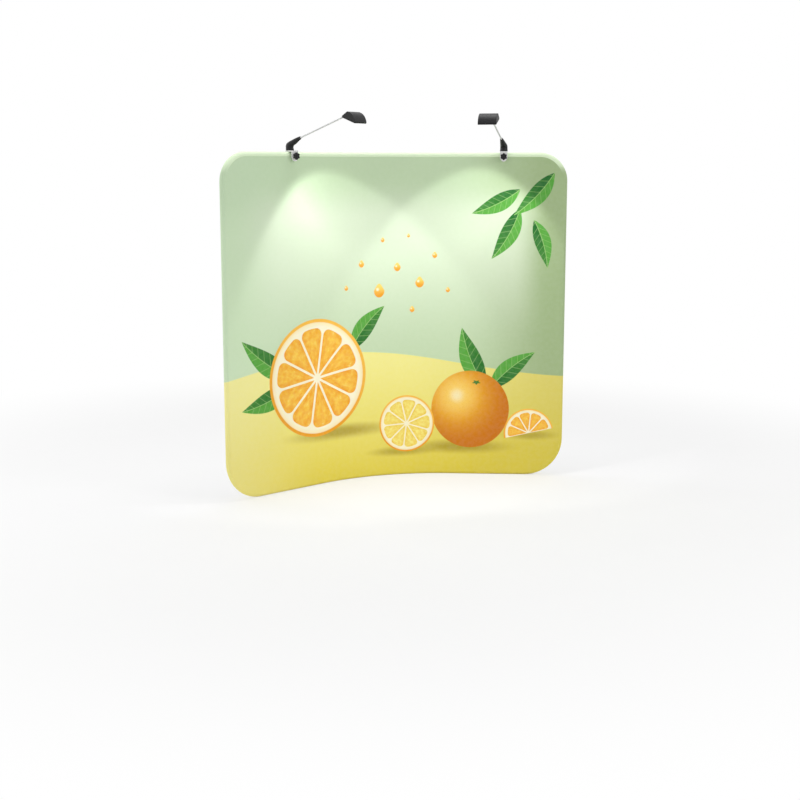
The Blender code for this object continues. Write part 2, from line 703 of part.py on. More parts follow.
def build_pull(local, slider_top):
    """The pull tab turns on its bar, which lies inside the slider's arch."""
    swing = math.hypot(PULL_BAR / 2.0, PULL_THICKNESS / 2.0) + GAP
    axis_run = BRIDGE_LEG - BRIDGE_LENGTH / 2.0 + swing
    hinge = local @ Matrix.Translation((axis_run, 0.0, slider_top + swing))
    bar, wide, neck = PULL_BAR / 2.0, PULL_WIDTH / 2.0, PULL_SLOT_LENGTH + PULL_BAR
    tip = [(bar - PULL_LENGTH + wide * (1.0 - math.sin(t)), wide * math.cos(t))
           for t in [math.pi * i / CORNER_STEPS for i in range(CORNER_STEPS + 1)]]
    tab = [(bar, -wide), (bar, wide), (-neck, wide)] + tip + [(-neck, -wide)]
    slot_half = BRIDGE_WIDTH / 2.0 + GAP
    slot = rectangle((-bar - PULL_SLOT_LENGTH, -slot_half), (-bar, slot_half))
    outline_solid("zipper_pull", tab, PULL_THICKNESS, hinge, STEEL, holes=[slot])


# Lamps

def inset(points, wall):
    """A closed outline moved inward by a wall: each corner lies where its two moved sides meet."""
    inner = []
    for before, here, after in zip(points[-1:] + points[:-1], points, points[1:] + points[:1]):
        first = (Vector(here) - Vector(before)).normalized()
        second = (Vector(after) - Vector(here)).normalized()
        across = Vector((-first.y - second.y, first.x + second.x))
        reach = wall / (1.0 + first.dot(second))
        inner.append((here[0] + across.x * reach, here[1] + across.y * reach))
    return inner


def build_clamp(name, local):
    """A hook over the top edge, with a tongue in front that holds the clamp screw."""
    inner = ROLL_RADIUS + GAP
    outer = inner + HOOK_REAR_WALL
    top = inner + HOOK_PLATE
    face = TONGUE_INNER + TONGUE_WALL
    turns = [math.pi / 2.0 * i / CORNER_STEPS for i in range(CORNER_STEPS + 1)]
    hollow = [(-inner * math.cos(t), inner * math.sin(t)) for t in turns]
    crown = [(HOOK_ROUND * (1.0 - math.sin(t)) - outer, top - HOOK_ROUND * (1.0 - math.cos(t))) for t in turns]
    hook = [(-outer, -HOOK_REAR_DROP), (-inner, -HOOK_REAR_DROP)] + hollow + [(face, inner), (face, top)] + crown
    clamp = outline_solid("lamp_clamp_" + name, hook, CLAMP_WIDTH, local @ SIDEWAYS, PALE_PLASTIC)
    wide, tip = CLAMP_WIDTH / 2.0, TONGUE_TIP_WIDTH / 2.0
    tip_arc = [(tip * math.cos(2.0 * t), -TONGUE_DROP + TONGUE_TIP_ROUND * (1.0 - math.sin(2.0 * t)))
               for t in turns]
    tongue_outline = [(wide, top), (-wide, top), (-wide, -TONGUE_SHOULDER)]
    tongue_outline += [(-x, z) for x, z in tip_arc] + [(wide, -TONGUE_SHOULDER)]
    middle = TONGUE_INNER + TONGUE_WALL / 2.0
    tongue = outline_solid("clamp_tongue_" + name, tongue_outline, TONGUE_WALL,
                           local @ Matrix.Translation((middle, 0.0, 0.0)) @ FACING)
    screw_line = local @ Matrix.Translation((0.0, 0.0, -SCREW_DROP))
    boss = cylinder("clamp_boss_" + name, BOSS_RADIUS, (middle, 0.0, 0.0), (face + BOSS_STAND, 0.0, 0.0),
                    screw_line)
    stud = cylinder("clamp_stud_" + name, STUD_RADIUS, (0.0, 0.0, top - HOOK_PLATE / 2.0),
                    (0.0, 0.0, top + STUD_HEIGHT), local)
    hole = cylinder("clamp_screw_hole_" + name, SCREW_RADIUS + SCREW_HOLE_PLAY,
                    (TONGUE_INNER - OVERRUN, 0.0, 0.0), (face + BOSS_STAND + OVERRUN, 0.0, 0.0), screw_line)
    for tool in (tongue, boss, stud):
        boolean(clamp, tool, "UNION")
    boolean(clamp, hole)


def build_screw(name, local):
    """The six-lobed knob on its screw, and the pad that the screw presses on the top edge."""
    seat = ROLL_RADIUS + GAP
    pad_back = seat + PAD_THICKNESS
    along_axis = local @ Matrix.Rotation(math.pi / 2.0, 4, "Y")
    cup = SCREW_RADIUS + SCREW_HOLE_PLAY
    turned("clamp_pad_" + name, [(0.0, pad_back - PAD_CUP), (cup, pad_back - PAD_CUP), (cup, pad_back),
           (PAD_RADIUS, pad_back), (PAD_RADIUS, seat), (0.0, seat)], along_axis, RUBBER)
    knob_low = TONGUE_INNER + TONGUE_WALL + BOSS_STAND + KNOB_BOSS_GAP
    middle = knob_low + KNOB_THICKNESS / 2.0
    star = []
    for i in range(KNOB_LOBES * KNOB_LOBE_STEPS):
        turn = 2.0 * math.pi * i / (KNOB_LOBES * KNOB_LOBE_STEPS)
        radius = KNOB_RADIUS + KNOB_LOBE * math.cos(KNOB_LOBES * turn)
        star.append((-radius * math.sin(turn), radius * math.cos(turn)))
    knob = outline_solid("clamp_knob_" + name, star, KNOB_THICKNESS,
                         local @ Matrix.Translation((middle, 0.0, 0.0)) @ FACING, BLACK_PLASTIC, KNOB_ROUND)
    shank = cylinder("knob_shank_" + name, SCREW_RADIUS, (pad_back - PAD_CUP + GAP, 0.0, 0.0),
                     (middle, 0.0, 0.0), local, sides=12)
    hub = cylinder("knob_hub_" + name, KNOB_HUB_RADIUS, (middle, 0.0, 0.0),
                   (knob_low + KNOB_THICKNESS + KNOB_HUB_STAND, 0.0, 0.0), local)
    boolean(knob, shank, "UNION")
    boolean(knob, hub, "UNION")


def build_elbow(name, local):
    """A tapering bend that turns on the clamp's stud and holds the arm rod in its nose."""
    rings = []
    for rear_share, rear_up_share, front_share, front_up_share, width_share in smoothed(ELBOW_SHARES):
        rear = Vector((NOSE_FORWARD * rear_share, 0.0, NOSE_HEIGHT * rear_up_share))
        fore = Vector((NOSE_FORWARD * front_share, 0.0, NOSE_HEIGHT * front_up_share))
        across = Vector((0.0, ELBOW_RADIUS * width_share, 0.0))
        turns = [2.0 * math.pi * i / SMALL_SIDES for i in range(SMALL_SIDES)]
        rings.append([(rear + fore) / 2.0 + (fore - rear) / 2.0 * math.cos(t) + across * math.sin(t)
                      for t in turns])
    elbow = loft("lamp_elbow_" + name, rings, local, BLACK_PLASTIC)
    socket = cylinder("elbow_socket_" + name, STUD_RADIUS + GAP, (0.0, 0.0, -OVERRUN),
                      (0.0, 0.0, STUD_HEIGHT), local)
    recess = cylinder("inlet_recess_" + name, INLET_RADIUS + GAP, (-INLET_REACH - OVERRUN, 0.0, INLET_HEIGHT),
                      (-INLET_REACH + INLET_LENGTH + GAP, 0.0, INLET_HEIGHT), local)
    nose = Vector((NOSE_FORWARD, 0.0, NOSE_HEIGHT))
    rise = Vector((math.cos(ARM_RISE), 0.0, math.sin(ARM_RISE)))
    bore = cylinder("nose_bore_" + name, ARM_RADIUS + GAP, nose - rise * SOCKET_DEPTH, nose + rise * OVERRUN,
                    local)
    for tool in (recess, bore, socket):
        boolean(elbow, tool)
    inlet_middle = local @ Matrix.Translation((INLET_LENGTH / 2.0 - INLET_REACH, 0.0, INLET_HEIGHT))
    outline_solid("power_inlet_" + name, circle(INLET_RADIUS), INLET_LENGTH, inlet_middle @ FACING, RUBBER,
                  holes=[circle(INLET_BORE, 10)])
    return nose, rise


def build_arm(name, local, nose, rise):
    """The arm rod with the eye that the head tilts on."""
    axis = nose + rise * ARM_LENGTH
    arm = cylinder("lamp_arm_" + name, ARM_RADIUS, nose - rise * (SOCKET_DEPTH - GAP), axis, local, SILVER_ROD)
    half = Vector((0.0, EYE_WIDTH / 2.0, 0.0))
    eye = cylinder("arm_eye_" + name, EYE_RADIUS, axis - half, axis + half, local)
    hole = cylinder("arm_eye_hole_" + name, PIN_RADIUS + GAP, axis - 2.0 * half, axis + 2.0 * half, local,
                    sides=12)
    boolean(arm, eye, "UNION")
    boolean(arm, hole)
    return local @ Matrix.Translation(axis) @ Matrix.Rotation(HEAD_TILT, 4, "Y")


def build_head(name, local):
    """The wedge-shaped head: housing with ears, hinge pin, light board, lens and the bezel that holds it."""
    rim = BEZEL_DEPTH + GAP - HEAD_DROP
    opening = local @ Matrix.Translation((HEAD_BACK, 0.0, rim))
    rise = HEAD_HEIGHT - BEZEL_DEPTH - GAP
    shares = [(0.0, 0.0), (1.0, 0.0), *smoothed(NOSE_SHARES), *REAR_SHARES]
    profile = [(HEAD_LENGTH * x_share, rise * z_share) for x_share, z_share in shares]
    housing = outline_solid("head_housing_" + name, profile, HEAD_WIDTH, opening @ SIDEWAYS, BLACK_PLASTIC,
                            HEAD_ROUND)
    hollow = inset(profile, HEAD_WALL)
    hollow[:2] = [(x, -OVERRUN) for x, _ in hollow[:2]]
    cavity = outline_solid("head_cavity_" + name, hollow, HEAD_WIDTH - 2.0 * HEAD_WALL, opening @ SIDEWAYS)
    boolean(housing, cavity)
    half_turn = [math.pi / 2.0 + math.pi * i / CORNER_STEPS for i in range(CORNER_STEPS + 1)]
    ear = [(EAR_RADIUS * math.cos(t), EAR_RADIUS * math.sin(t)) for t in half_turn]
    ear += [(HEAD_BACK + HEAD_WALL / 2.0, -EAR_FOOT), (EAR_ROOT, EAR_RADIUS)]
    level = EYE_WIDTH / 2.0 + GAP + EAR_THICKNESS / 2.0
    for side in (-1.0, 1.0):
        shifted = local @ Matrix.Translation((0.0, side * level, 0.0)) @ SIDEWAYS
        boolean(housing, outline_solid("head_ear_%s_%d" % (name, side), ear, EAR_THICKNESS, shifted), "UNION")
        boss_foot = (BOARD_FORWARD, side * BOARD_BOSS_SPREAD, BOARD_HEIGHT + BOARD_THICKNESS + GAP)
        boss_top = (BOARD_FORWARD, side * BOARD_BOSS_SPREAD, rise - HEAD_WALL / 2.0)
        boss = cylinder("board_boss_%s_%d" % (name, side), BOARD_BOSS_RADIUS, boss_foot, boss_top, opening,
                        sides=10)
        boolean(housing, boss, "UNION")
    reach = level + EAR_THICKNESS / 2.0
    hole = cylinder("ear_hole_" + name, PIN_RADIUS + GAP, (0.0, -reach - OVERRUN, 0.0),
                    (0.0, reach + OVERRUN, 0.0), local, sides=12)
    boolean(housing, hole)
    inner, outer = reach + GAP, reach + GAP + PIN_HEAD
    pin = [(0.0, outer), (PIN_HEAD_RADIUS, outer), (PIN_HEAD_RADIUS, inner), (PIN_RADIUS, inner),
           (PIN_RADIUS, -inner), (PIN_HEAD_RADIUS, -inner), (PIN_HEAD_RADIUS, -outer), (0.0, -outer)]
    turned("tilt_pin_" + name, pin, local @ Matrix.Rotation(-math.pi / 2.0, 4, "X"), STEEL, steps=12)
    build_light(name, opening)


def build_light(name, opening):
    half = HEAD_WIDTH / 2.0
    frame = rectangle((0.0, -half), (HEAD_LENGTH, half))
    window = rectangle((BEZEL_RIM, BEZEL_RIM - half), (HEAD_LENGTH - BEZEL_NOSE, half - BEZEL_RIM))
    below = Matrix.Translation((0.0, 0.0, -GAP - BEZEL_DEPTH / 2.0))
    outline_solid("head_bezel_" + name, frame, BEZEL_DEPTH, opening @ below, BLACK_PLASTIC, BEZEL_ROUND, [window])
    side = half - HEAD_WALL - GAP
    pane = rectangle((HEAD_WALL + GAP, -side), (HEAD_LENGTH - LENS_NOSE, side))
    outline_solid("head_lens_" + name, pane, LENS_THICKNESS,
                  opening @ Matrix.Translation((0.0, 0.0, LENS_THICKNESS / 2.0)), CLEAR_LENS)
    board = box("light_board_" + name, (BOARD_LENGTH, BOARD_WIDTH, BOARD_THICKNESS),
                (BOARD_FORWARD, 0.0, BOARD_HEIGHT + BOARD_THICKNESS / 2.0), opening, BOARD_WHITE)
    chips = bmesh.new()
    for row in range(CHIP_ROWS):
        for column in range(CHIP_COLUMNS):
            forward = BOARD_FORWARD + BOARD_LENGTH * ((row + 0.5) / CHIP_ROWS - 0.5)
            across = BOARD_WIDTH * ((column + 0.5) / CHIP_COLUMNS - 0.5)
            made = bmesh.ops.create_cube(chips, size=1.0)["verts"]
            bmesh.ops.scale(chips, vec=(CHIP_SIZE, CHIP_SIZE, 2.0 * CHIP_STAND), verts=made)
            bmesh.ops.translate(chips, vec=(forward, across, BOARD_HEIGHT), verts=made)
    boolean(board, from_bmesh("light_chips_" + name, chips, opening, smooth=False), "UNION")


def build_lamp(name, run, side):
    wall = frame_matrix(wall_point(run, HIGH), front(run), UP)
    build_clamp(name, wall)
    build_screw(name, wall @ Matrix.Translation((0.0, 0.0, -SCREW_DROP)))
    swivel = wall @ Matrix.Translation((0.0, 0.0, SWIVEL_SEAT)) @ Matrix.Rotation(-side * LAMP_TURN, 4, "Z")
    nose, rise = build_elbow(name, swivel)
    head = build_arm(name, swivel, nose, rise)
    build_head(name, head)


def build():
    clear_scene()
    make_collection(COLLECTION)
    make_collection(CUTTERS)
    build_frame()
    build_post()
    build_cover()
    build_zipper()
    build_lamp("left", LAMP_RUN_LEFT, -1.0)
    build_lamp("right", LAMP_RUN_RIGHT, 1.0)


build()
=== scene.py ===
"""Looks for the curved tabletop fabric display: cloth cover, zipper, lamps, floor and light round the frame.

Metres in the CAD's own frame: +Z up, +X to the viewer's right, the printed hollow side faces -Y.
"""
import json
import math

import bmesh
import bpy
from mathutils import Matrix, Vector


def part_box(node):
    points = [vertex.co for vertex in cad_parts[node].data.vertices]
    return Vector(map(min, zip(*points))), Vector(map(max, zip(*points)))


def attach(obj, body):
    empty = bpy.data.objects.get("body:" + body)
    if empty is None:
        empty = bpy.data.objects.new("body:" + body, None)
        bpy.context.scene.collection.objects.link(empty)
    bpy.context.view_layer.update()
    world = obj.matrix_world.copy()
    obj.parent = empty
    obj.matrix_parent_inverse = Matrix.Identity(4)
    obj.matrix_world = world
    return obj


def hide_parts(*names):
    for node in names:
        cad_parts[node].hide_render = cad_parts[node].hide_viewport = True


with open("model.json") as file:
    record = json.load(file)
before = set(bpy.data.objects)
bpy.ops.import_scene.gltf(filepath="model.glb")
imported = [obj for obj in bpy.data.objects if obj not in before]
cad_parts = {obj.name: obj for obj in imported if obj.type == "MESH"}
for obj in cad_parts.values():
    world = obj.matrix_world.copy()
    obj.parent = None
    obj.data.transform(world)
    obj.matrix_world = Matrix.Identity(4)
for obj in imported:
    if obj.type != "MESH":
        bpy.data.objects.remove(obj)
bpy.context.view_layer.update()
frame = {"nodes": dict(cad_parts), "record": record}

# Sizes that the cloth and the zipper share with the CAD
DISPLAY_HEIGHT = 1.680
HALF_RUN = 0.940            # half of the frame's centre line, measured round the curve
BEND_RADIUS = 0.886
BEND_RUN = BEND_RADIUS * math.radians(23.0)
TOP_CORNER = 0.127
BOTTOM_CORNER = 0.180
ROLL_INNER = 0.0155         # from a tube's centre to the inside of the cloth rolled round it
HALF_ROUND = math.pi * ROLL_INNER
CLOTH = 0.001
ROLL_RADIUS = ROLL_INNER + CLOTH
FLAT_DEPTH = 0.0005
LOW = ROLL_RADIUS - FLAT_DEPTH
HIGH = DISPLAY_HEIGHT - ROLL_RADIUS
SEAM_ANGLE = math.radians(120.0)    # round the tube from its front, at the sides and the top
SEAM_RISE = 0.018           # from the back of the bottom tube up to the seam
SEAM_STEP = 0.002           # the least that the front sheet runs on past the round
SEAM_GAP = 0.0005           # between the edges of the two sheets
WRAP_SHARE = 2.0 / 3.0      # share of a bottom corner in which the seam turns to the tube's back
GAP = 0.0003
TAPE_THICKNESS = 0.0006
ZIP_HALF = 0.740
TAPE_FACE = ROLL_RADIUS + GAP
TEETH_FACE = TAPE_FACE + TAPE_THICKNESS + GAP
GROUND = 0.0
WAVE = 2.0 * math.pi        # radians in a whole wave or turn


# Places on the curved wall

def heading(run):
    """Angle that the wall has turned by at a run from its middle."""
    return max(-BEND_RUN, min(BEND_RUN, run)) / BEND_RADIUS


def along(run):
    """Direction of the frame's centre line in plan, to the viewer's right."""
    return Vector((math.cos(heading(run)), -math.sin(heading(run)), 0.0))


def front(run):
    """Direction square to the wall, on its hollow printed side."""
    return Vector((-math.sin(heading(run)), -math.cos(heading(run)), 0.0))


def wall_point(run, height):
    """A point of the frame's centre surface: an arc in plan, with a straight run at each end."""
    turned = heading(run)
    place = Vector((BEND_RADIUS * math.sin(turned), BEND_RADIUS * (math.cos(turned) - 1.0), height))
    return place + along(run) * (run - turned * BEND_RADIUS)


def back_point(run, height, stand):
    """A point that lies a distance behind the centre surface."""
    return wall_point(run, height) - front(run) * stand


# Objects

def link(item):
    bpy.context.scene.collection.objects.link(item)
    return item


def mesh_object(name, shape, smooth_angle=40.0):
    mesh = bpy.data.meshes.new(name)
    shape.to_mesh(mesh)
    shape.free()
    mesh.shade_smooth()
    mesh.set_sharp_from_angle(angle=math.radians(smooth_angle))
    return link(bpy.data.objects.new(name, mesh))


def finish_piece(item, material, body="frame_and_cover", replaces=()):
    """Give a piece of the cover its look and the body that it moves with."""
    item.data.materials.clear()
    item.data.materials.append(material)
    if replaces:
        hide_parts(*replaces)
    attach(item, body)


# Material nodes

MIX_INPUTS = (0, 6, 7)      # a Mix node's sockets for the amount and the two colours
MIX_RESULT = 2


def linear(*values):
    """A colour given as display values from 0 to 255."""
    return tuple(v / 255.0 / 12.92 if v <= 10.31 else ((v / 255.0 + 0.055) / 1.055) ** 2.4 for v in values)


def scaled(colour, share):
    """A lighter or darker tone of a colour."""
    return tuple(min(1.0, value * share) for value in colour)


class Field:
    """A number that varies over a surface: arithmetic on it adds nodes."""

    def __init__(self, tree, socket):
        self.tree, self.socket = tree, socket

    def math(self, kind, *others):
        node = self.tree.nodes.new("ShaderNodeMath")
        node.operation = kind
        for i, value in enumerate((self, *others)):
            if isinstance(value, Field):
                self.tree.links.new(value.socket, node.inputs[i])
            else:
                node.inputs[i].default_value = value
        return Field(self.tree, node.outputs[0])

    def __add__(self, other):
        return self.math("ADD", other)

    def __sub__(self, other):
        return self.math("SUBTRACT", other)

    def __mul__(self, other):
        return self.math("MULTIPLY", other)

    def __truediv__(self, other):
        return self.math("DIVIDE", other)

    __radd__, __rmul__ = __add__, __mul__

    def __rsub__(self, other):
        return (self * -1.0) + other

    def abs(self):
        return self.math("ABSOLUTE")

    def least(self, other):
        return self.math("MINIMUM", other)

    def most(self, other):
        return self.math("MAXIMUM", other)

    def step(self, low, high):
        """Smoothly from 0 at low to 1 at high."""
        node = self.tree.nodes.new("ShaderNodeMapRange")
        node.interpolation_type = "SMOOTHSTEP"
        self.tree.links.new(self.socket, node.inputs["Value"])
        first, last = ((low, high), (0.0, 1.0)) if low < high else ((high, low), (1.0, 0.0))
        for name, value in zip(("From Min", "From Max", "To Min", "To Max"), first + last):
            node.inputs[name].default_value = value
        return Field(self.tree, node.outputs["Result"])


def length(x, y):
    return (x * x + y * y).math("SQRT")


class Paint:
    """A Principled material and the nodes that feed it.

    Its axes are X, Y and Z in metres, or across and up the flat cloth where a UV map is named.
    """

    def __init__(self, name, roughness=0.5, metallic=0.0, uv_map=None, **constants):
        self.material = bpy.data.materials.new(name)
        self.material.use_nodes = True
        self.tree = self.material.node_tree
        self.shader = self.tree.nodes["Principled BSDF"]
        self.shader.inputs["Roughness"].default_value = roughness
        self.shader.inputs["Metallic"].default_value = metallic
        for socket, value in constants.items():
            self.shader.inputs[socket.replace("_", " ")].default_value = value
        if uv_map:
            self.where = self.node("ShaderNodeUVMap", uv_map=uv_map).outputs["UV"]
        else:
            self.where = self.node("ShaderNodeTexCoord").outputs["Object"]
        split = self.node("ShaderNodeSeparateXYZ")
        self.tree.links.new(self.where, split.inputs[0])
        self.axes = [Field(self.tree, socket) for socket in split.outputs]

    def node(self, kind, **settings):
        node = self.tree.nodes.new(kind)
        for key, value in settings.items():
            setattr(node, key, value)
        return node

    def noise(self, scale, detail=3.0, roughness=0.5, stretch=(1.0, 1.0, 1.0), across=None, up=None):
        """Noise over the surface, or over two fields of its own."""
        node = self.node("ShaderNodeTexNoise")
        for socket, value in (("Scale", scale), ("Detail", detail), ("Roughness", roughness)):
            node.inputs[socket].default_value = value
        if across:
            placed = self.node("ShaderNodeCombineXYZ")
            self.tree.links.new(across.socket, placed.inputs[0])
            self.tree.links.new(up.socket, placed.inputs[1])
        else:
            placed = self.node("ShaderNodeVectorMath", operation="MULTIPLY")
            placed.inputs[1].default_value = stretch
            self.tree.links.new(self.where, placed.inputs[0])
        self.tree.links.new(placed.outputs[0], node.inputs["Vector"])
        return Field(self.tree, node.outputs["Fac"])

    def mix(self, amount, low, high):
        """A colour between two others, each a colour or the result of a mix."""
        node = self.node("ShaderNodeMix", data_type="RGBA")
        for value, index in zip((amount, low, high), MIX_INPUTS):
            if isinstance(value, Field):
                self.tree.links.new(value.socket, node.inputs[index])
            elif isinstance(value, tuple):
                node.inputs[index].default_value = (*value, 1.0)
            else:
                node.inputs[index].default_value = value
        return Field(self.tree, node.outputs[MIX_RESULT])

    def colour(self, value):
        self.tree.links.new(value.socket, self.shader.inputs["Base Color"])

    def rough(self, value):
        self.tree.links.new(value.socket, self.shader.inputs["Roughness"])

    def bump(self, height, distance, strength=1.0):
        node = self.node("ShaderNodeBump")
        node.inputs["Strength"].default_value = strength
        node.inputs["Distance"].default_value = distance
        self.tree.links.new(height.socket, node.inputs["Height"])
        self.tree.links.new(node.outputs[0], self.shader.inputs["Normal"])


# Materials of hard pieces and plain cloth

KNIT_COLUMN = 0.0011        # from one upright column of stitches to the next
KNIT_ROW = 0.0008
KNIT_DEPTH = 0.00012
TAPE_WARP = 0.0009
TAPE_WEFT = 0.0007
TAPE_DEPTH = 0.00010
PRISM_TURN = 2600.0         # radians a metre of the lens's fine prisms
PRISM_DEPTH = 0.00015


def metal(name, colour, roughness, stretch, scale=900.0, depth=0.00004, metallic=1.0):
    """Drawn or brushed metal with fine lines along the axis that is stretched least."""
    paint = Paint(name, roughness, metallic)
    lines = paint.noise(scale, 4.0, 0.65, stretch)
    cloud = paint.noise(22.0, 3.0)
    paint.colour(paint.mix(cloud, scaled(colour, 0.90), scaled(colour, 1.06)))
    paint.rough(lines * 0.16 + (cloud * 0.10 + (roughness - 0.13)))
    paint.bump(lines, depth)
    return paint.material


def plastic(name, colour, roughness, grain=1800.0, depth=0.00006, spread=0.10, **constants):
    """Moulded plastic or rubber with a fine grain and faint handling marks."""
    paint = Paint(name, roughness, 0.0, **constants)
    fine = paint.noise(grain, 2.0, 0.6)
    cloud = paint.noise(35.0, 4.0, 0.6)
    paint.colour(paint.mix(cloud, scaled(colour, 1.0 - spread), scaled(colour, 1.0 + spread)))
    paint.rough(cloud * 0.12 + (roughness - 0.06))
    paint.bump(fine, depth)
    return paint.material


def knit(paint, across, up):
    """Fine warp knit: rows of small stitches, with a faint unevenness of the cloth."""
    column = (across * (WAVE / KNIT_COLUMN)).math("SINE")
    row = (up * (WAVE / KNIT_ROW) + column * 0.9).math("SINE")
    uneven = paint.noise(45.0, 3.0, 0.5)
    paint.bump(column.abs() * 0.5 + row * 0.35 + uneven * 0.3, KNIT_DEPTH, 0.45)
    return uneven


def plain_cloth(name, colour):
    paint = Paint(name, 0.85, uv_map="flat", Specular_IOR_Level=0.20, Sheen_Weight=0.10, Sheen_Roughness=0.5)
    across, up, _ = paint.axes
    uneven = knit(paint, across, up)
    paint.colour(paint.mix(uneven.step(0.2, 0.8), scaled(colour, 0.975), colour))
    return paint.material


def woven_tape(name, colour):
    paint = Paint(name, 0.80, Specular_IOR_Level=0.25)
    x, _, z = paint.axes
    warp = (x * (WAVE / TAPE_WARP)).math("SINE")
    weft = (z * (WAVE / TAPE_WEFT)).math("SINE")
    cloud = paint.noise(40.0, 3.0)
    paint.colour(paint.mix(cloud, scaled(colour, 0.9), colour))
    paint.bump(warp * weft, TAPE_DEPTH, 0.6)
    return paint.material


def frosted_lens(name):
    """A clear pane with fine prisms, lit faintly from behind."""
    paint = Paint(name, 0.35, Emission_Strength=0.5, Emission_Color=(1.0, 0.98, 0.93, 1.0))
    x, y, _ = paint.axes
    prism = (x * PRISM_TURN).math("SINE") * (y * PRISM_TURN).math("SINE")
    cloud = paint.noise(60.0, 2.0)
    paint.colour(paint.mix(cloud, (0.64, 0.66, 0.66), (0.72, 0.73, 0.72)))
    paint.bump(prism, PRISM_DEPTH, 0.5)
    return paint.material


# Print: a made-up summer picture of citrus fruit, leaves and drops over two soft fields, with the lamps'
# light and the shade on the wall painted into the fields and the top roll
# Places are metres across from the middle of the wall and up from its foot, and angles are radians

EDGE = 0.0015               # softness of a printed outline
# how far below the top roll's edge the painted light from above begins
MARGIN = 0.005
RIND, RIND_LIGHT, PITH = linear(240, 164, 34), linear(250, 192, 72), linear(255, 247, 218)
FLESH, FLESH_DEEP = linear(255, 212, 84), linear(244, 158, 34)
LEMON, LEMON_DEEP = linear(255, 240, 140), linear(242, 206, 64)
SKIN_PALE, SKIN, SKIN_DEEP = linear(255, 222, 118), linear(248, 184, 52), linear(206, 118, 14)
LEAF_PALE, LEAF_DEEP, LEAF_VEIN = linear(88, 166, 62), linear(20, 100, 36), linear(168, 212, 128)
SHADOW = linear(164, 140, 36)
HIGHLIGHT = linear(255, 250, 225)
# Shares of a slice's radius: the round of its segments' corners, half the skin between two segments, and
# how far out the segments and the pith reach
SEGMENT_CORNER, SEGMENT_SKIN, SEGMENT_END, PITH_END = 0.13, 0.018, 0.85, 0.955
# The long swell where the two fields meet: its middle and its rise in metres, its turn a metre and its start
SWELL_MIDDLE, SWELL_RISE, SWELL_TURN, SWELL_START = 0.60, 0.070, 2.4, 2.2
# Across, up, half its width, half its height and strength of each shadow
SHADOWS = ((-0.26, 0.262, 0.36, 0.045, 0.75), (0.42, 0.150, 0.30, 0.042, 0.75),
           (0.10, 0.128, 0.20, 0.030, 0.65), (0.79, 0.215, 0.16, 0.030, 0.6))
# Across, up, half its length, half its width and angle of each leaf
LEAVES = ((-0.72, 0.66, 0.190, 0.056, 2.55), (-0.71, 0.47, 0.165, 0.052, 3.45),
          (-0.10, 0.80, 0.150, 0.050, 0.85), (0.47, 0.62, 0.170, 0.056, 1.95),
          (0.68, 0.57, 0.155, 0.050, 0.70), (0.60, 1.42, 0.140, 0.044, 3.60),
          (0.66, 1.26, 0.150, 0.046, 4.20), (0.84, 1.22, 0.130, 0.042, 5.00),
          (0.80, 1.46, 0.150, 0.046, 3.95))
# Across, up and radius of each drop
DROPS = ((-0.02, 0.98, 0.030), (0.08, 1.10, 0.019), (0.20, 1.02, 0.024), (0.28, 1.16, 0.014),
         (-0.12, 1.12, 0.016), (0.16, 0.88, 0.014), (0.35, 0.98, 0.012), (0.00, 1.24, 0.011),
         (-0.21, 1.00, 0.012), (0.14, 1.26, 0.009))


def turn(x, y, angle):
    cos, sin = math.cos(angle), math.sin(angle)
    return x * cos + y * sin, y * cos - x * sin


def soft_shadow(paint, ground, x, y, wide, high, strength):
    return paint.mix(length(x / wide, y / high).step(1.15, 0.15) * strength, ground, SHADOW)


def citrus(paint, ground, x, y, radius, segments, flesh, deep, half=False):
    """A cut slice: rind, pith, and rounded segments of juicy flesh with a light that falls across them."""
    reach = length(x, y)
    around = y.math("ARCTAN2", x) * (segments / WAVE) + 2.0 * segments
    wedge = around.math("FRACT")
    off = (0.5 - (wedge - 0.5).abs()) * (WAVE / segments)
    corner = radius * SEGMENT_CORNER
    to_membrane = reach * off.math("SINE") - radius * SEGMENT_SKIN
    to_pith = radius * SEGMENT_END - reach
    inside = corner - length((corner - to_membrane).most(0.0), (corner - to_pith).most(0.0))
    cells = paint.noise(1.0, 3.0, 0.6, across=around * 5.0, up=reach * (9.0 / radius))
    depth = (inside / corner).step(0.0, 1.0) * 0.35 + cells.step(0.30, 0.72) * 0.65
    fruit = paint.mix(depth, deep, flesh)
    fruit = paint.mix(cells.step(0.62, 0.78) * 0.45, fruit, linear(255, 244, 190))
    rim = paint.mix(((x * 0.6 + y) / radius).step(-0.8, 0.9), RIND, RIND_LIGHT)
    pith = paint.mix((reach / radius).step(0.86, 0.95) * 0.5, PITH, linear(253, 226, 150))
    keep = y.step(-EDGE, EDGE) if half else None
    for mask, look in ((reach.step(radius + EDGE, radius), rim),
                       (reach.step(radius * PITH_END, radius * 0.94), pith),
                       (inside.step(0.0, EDGE), fruit)):
        ground = paint.mix(mask * keep if half else mask, ground, look)
    return ground


def whole_fruit(paint, ground, x, y, radius):
    """A whole fruit: round shading, a dimpled skin and its star-shaped stem."""
    reach = length(x, y)
    lit = length(x + radius * 0.34, y - radius * 0.36) / radius
    dimples = paint.noise(170.0, 2.0, 0.5)
    colour = paint.mix(lit.step(0.1, 1.35), SKIN, SKIN_DEEP)
    colour = paint.mix(lit.step(0.75, 0.0) * 0.9, colour, SKIN_PALE)
    colour = paint.mix(lit.step(0.26, 0.0) * 0.6, colour, HIGHLIGHT)
    colour = paint.mix(dimples.step(0.52, 0.70) * 0.16, colour, SKIN_DEEP)
    ground = paint.mix(reach.step(radius + EDGE, radius - EDGE), ground, colour)
    px, py = x - radius * 0.16, (y - radius * 0.70) * 1.8
    star = length(px, py) * (1.0 + (py.math("ARCTAN2", px) * 5.0).math("SINE") * 0.28)
    return paint.mix(star.step(radius * 0.085, radius * 0.07), ground, linear(70, 128, 44))


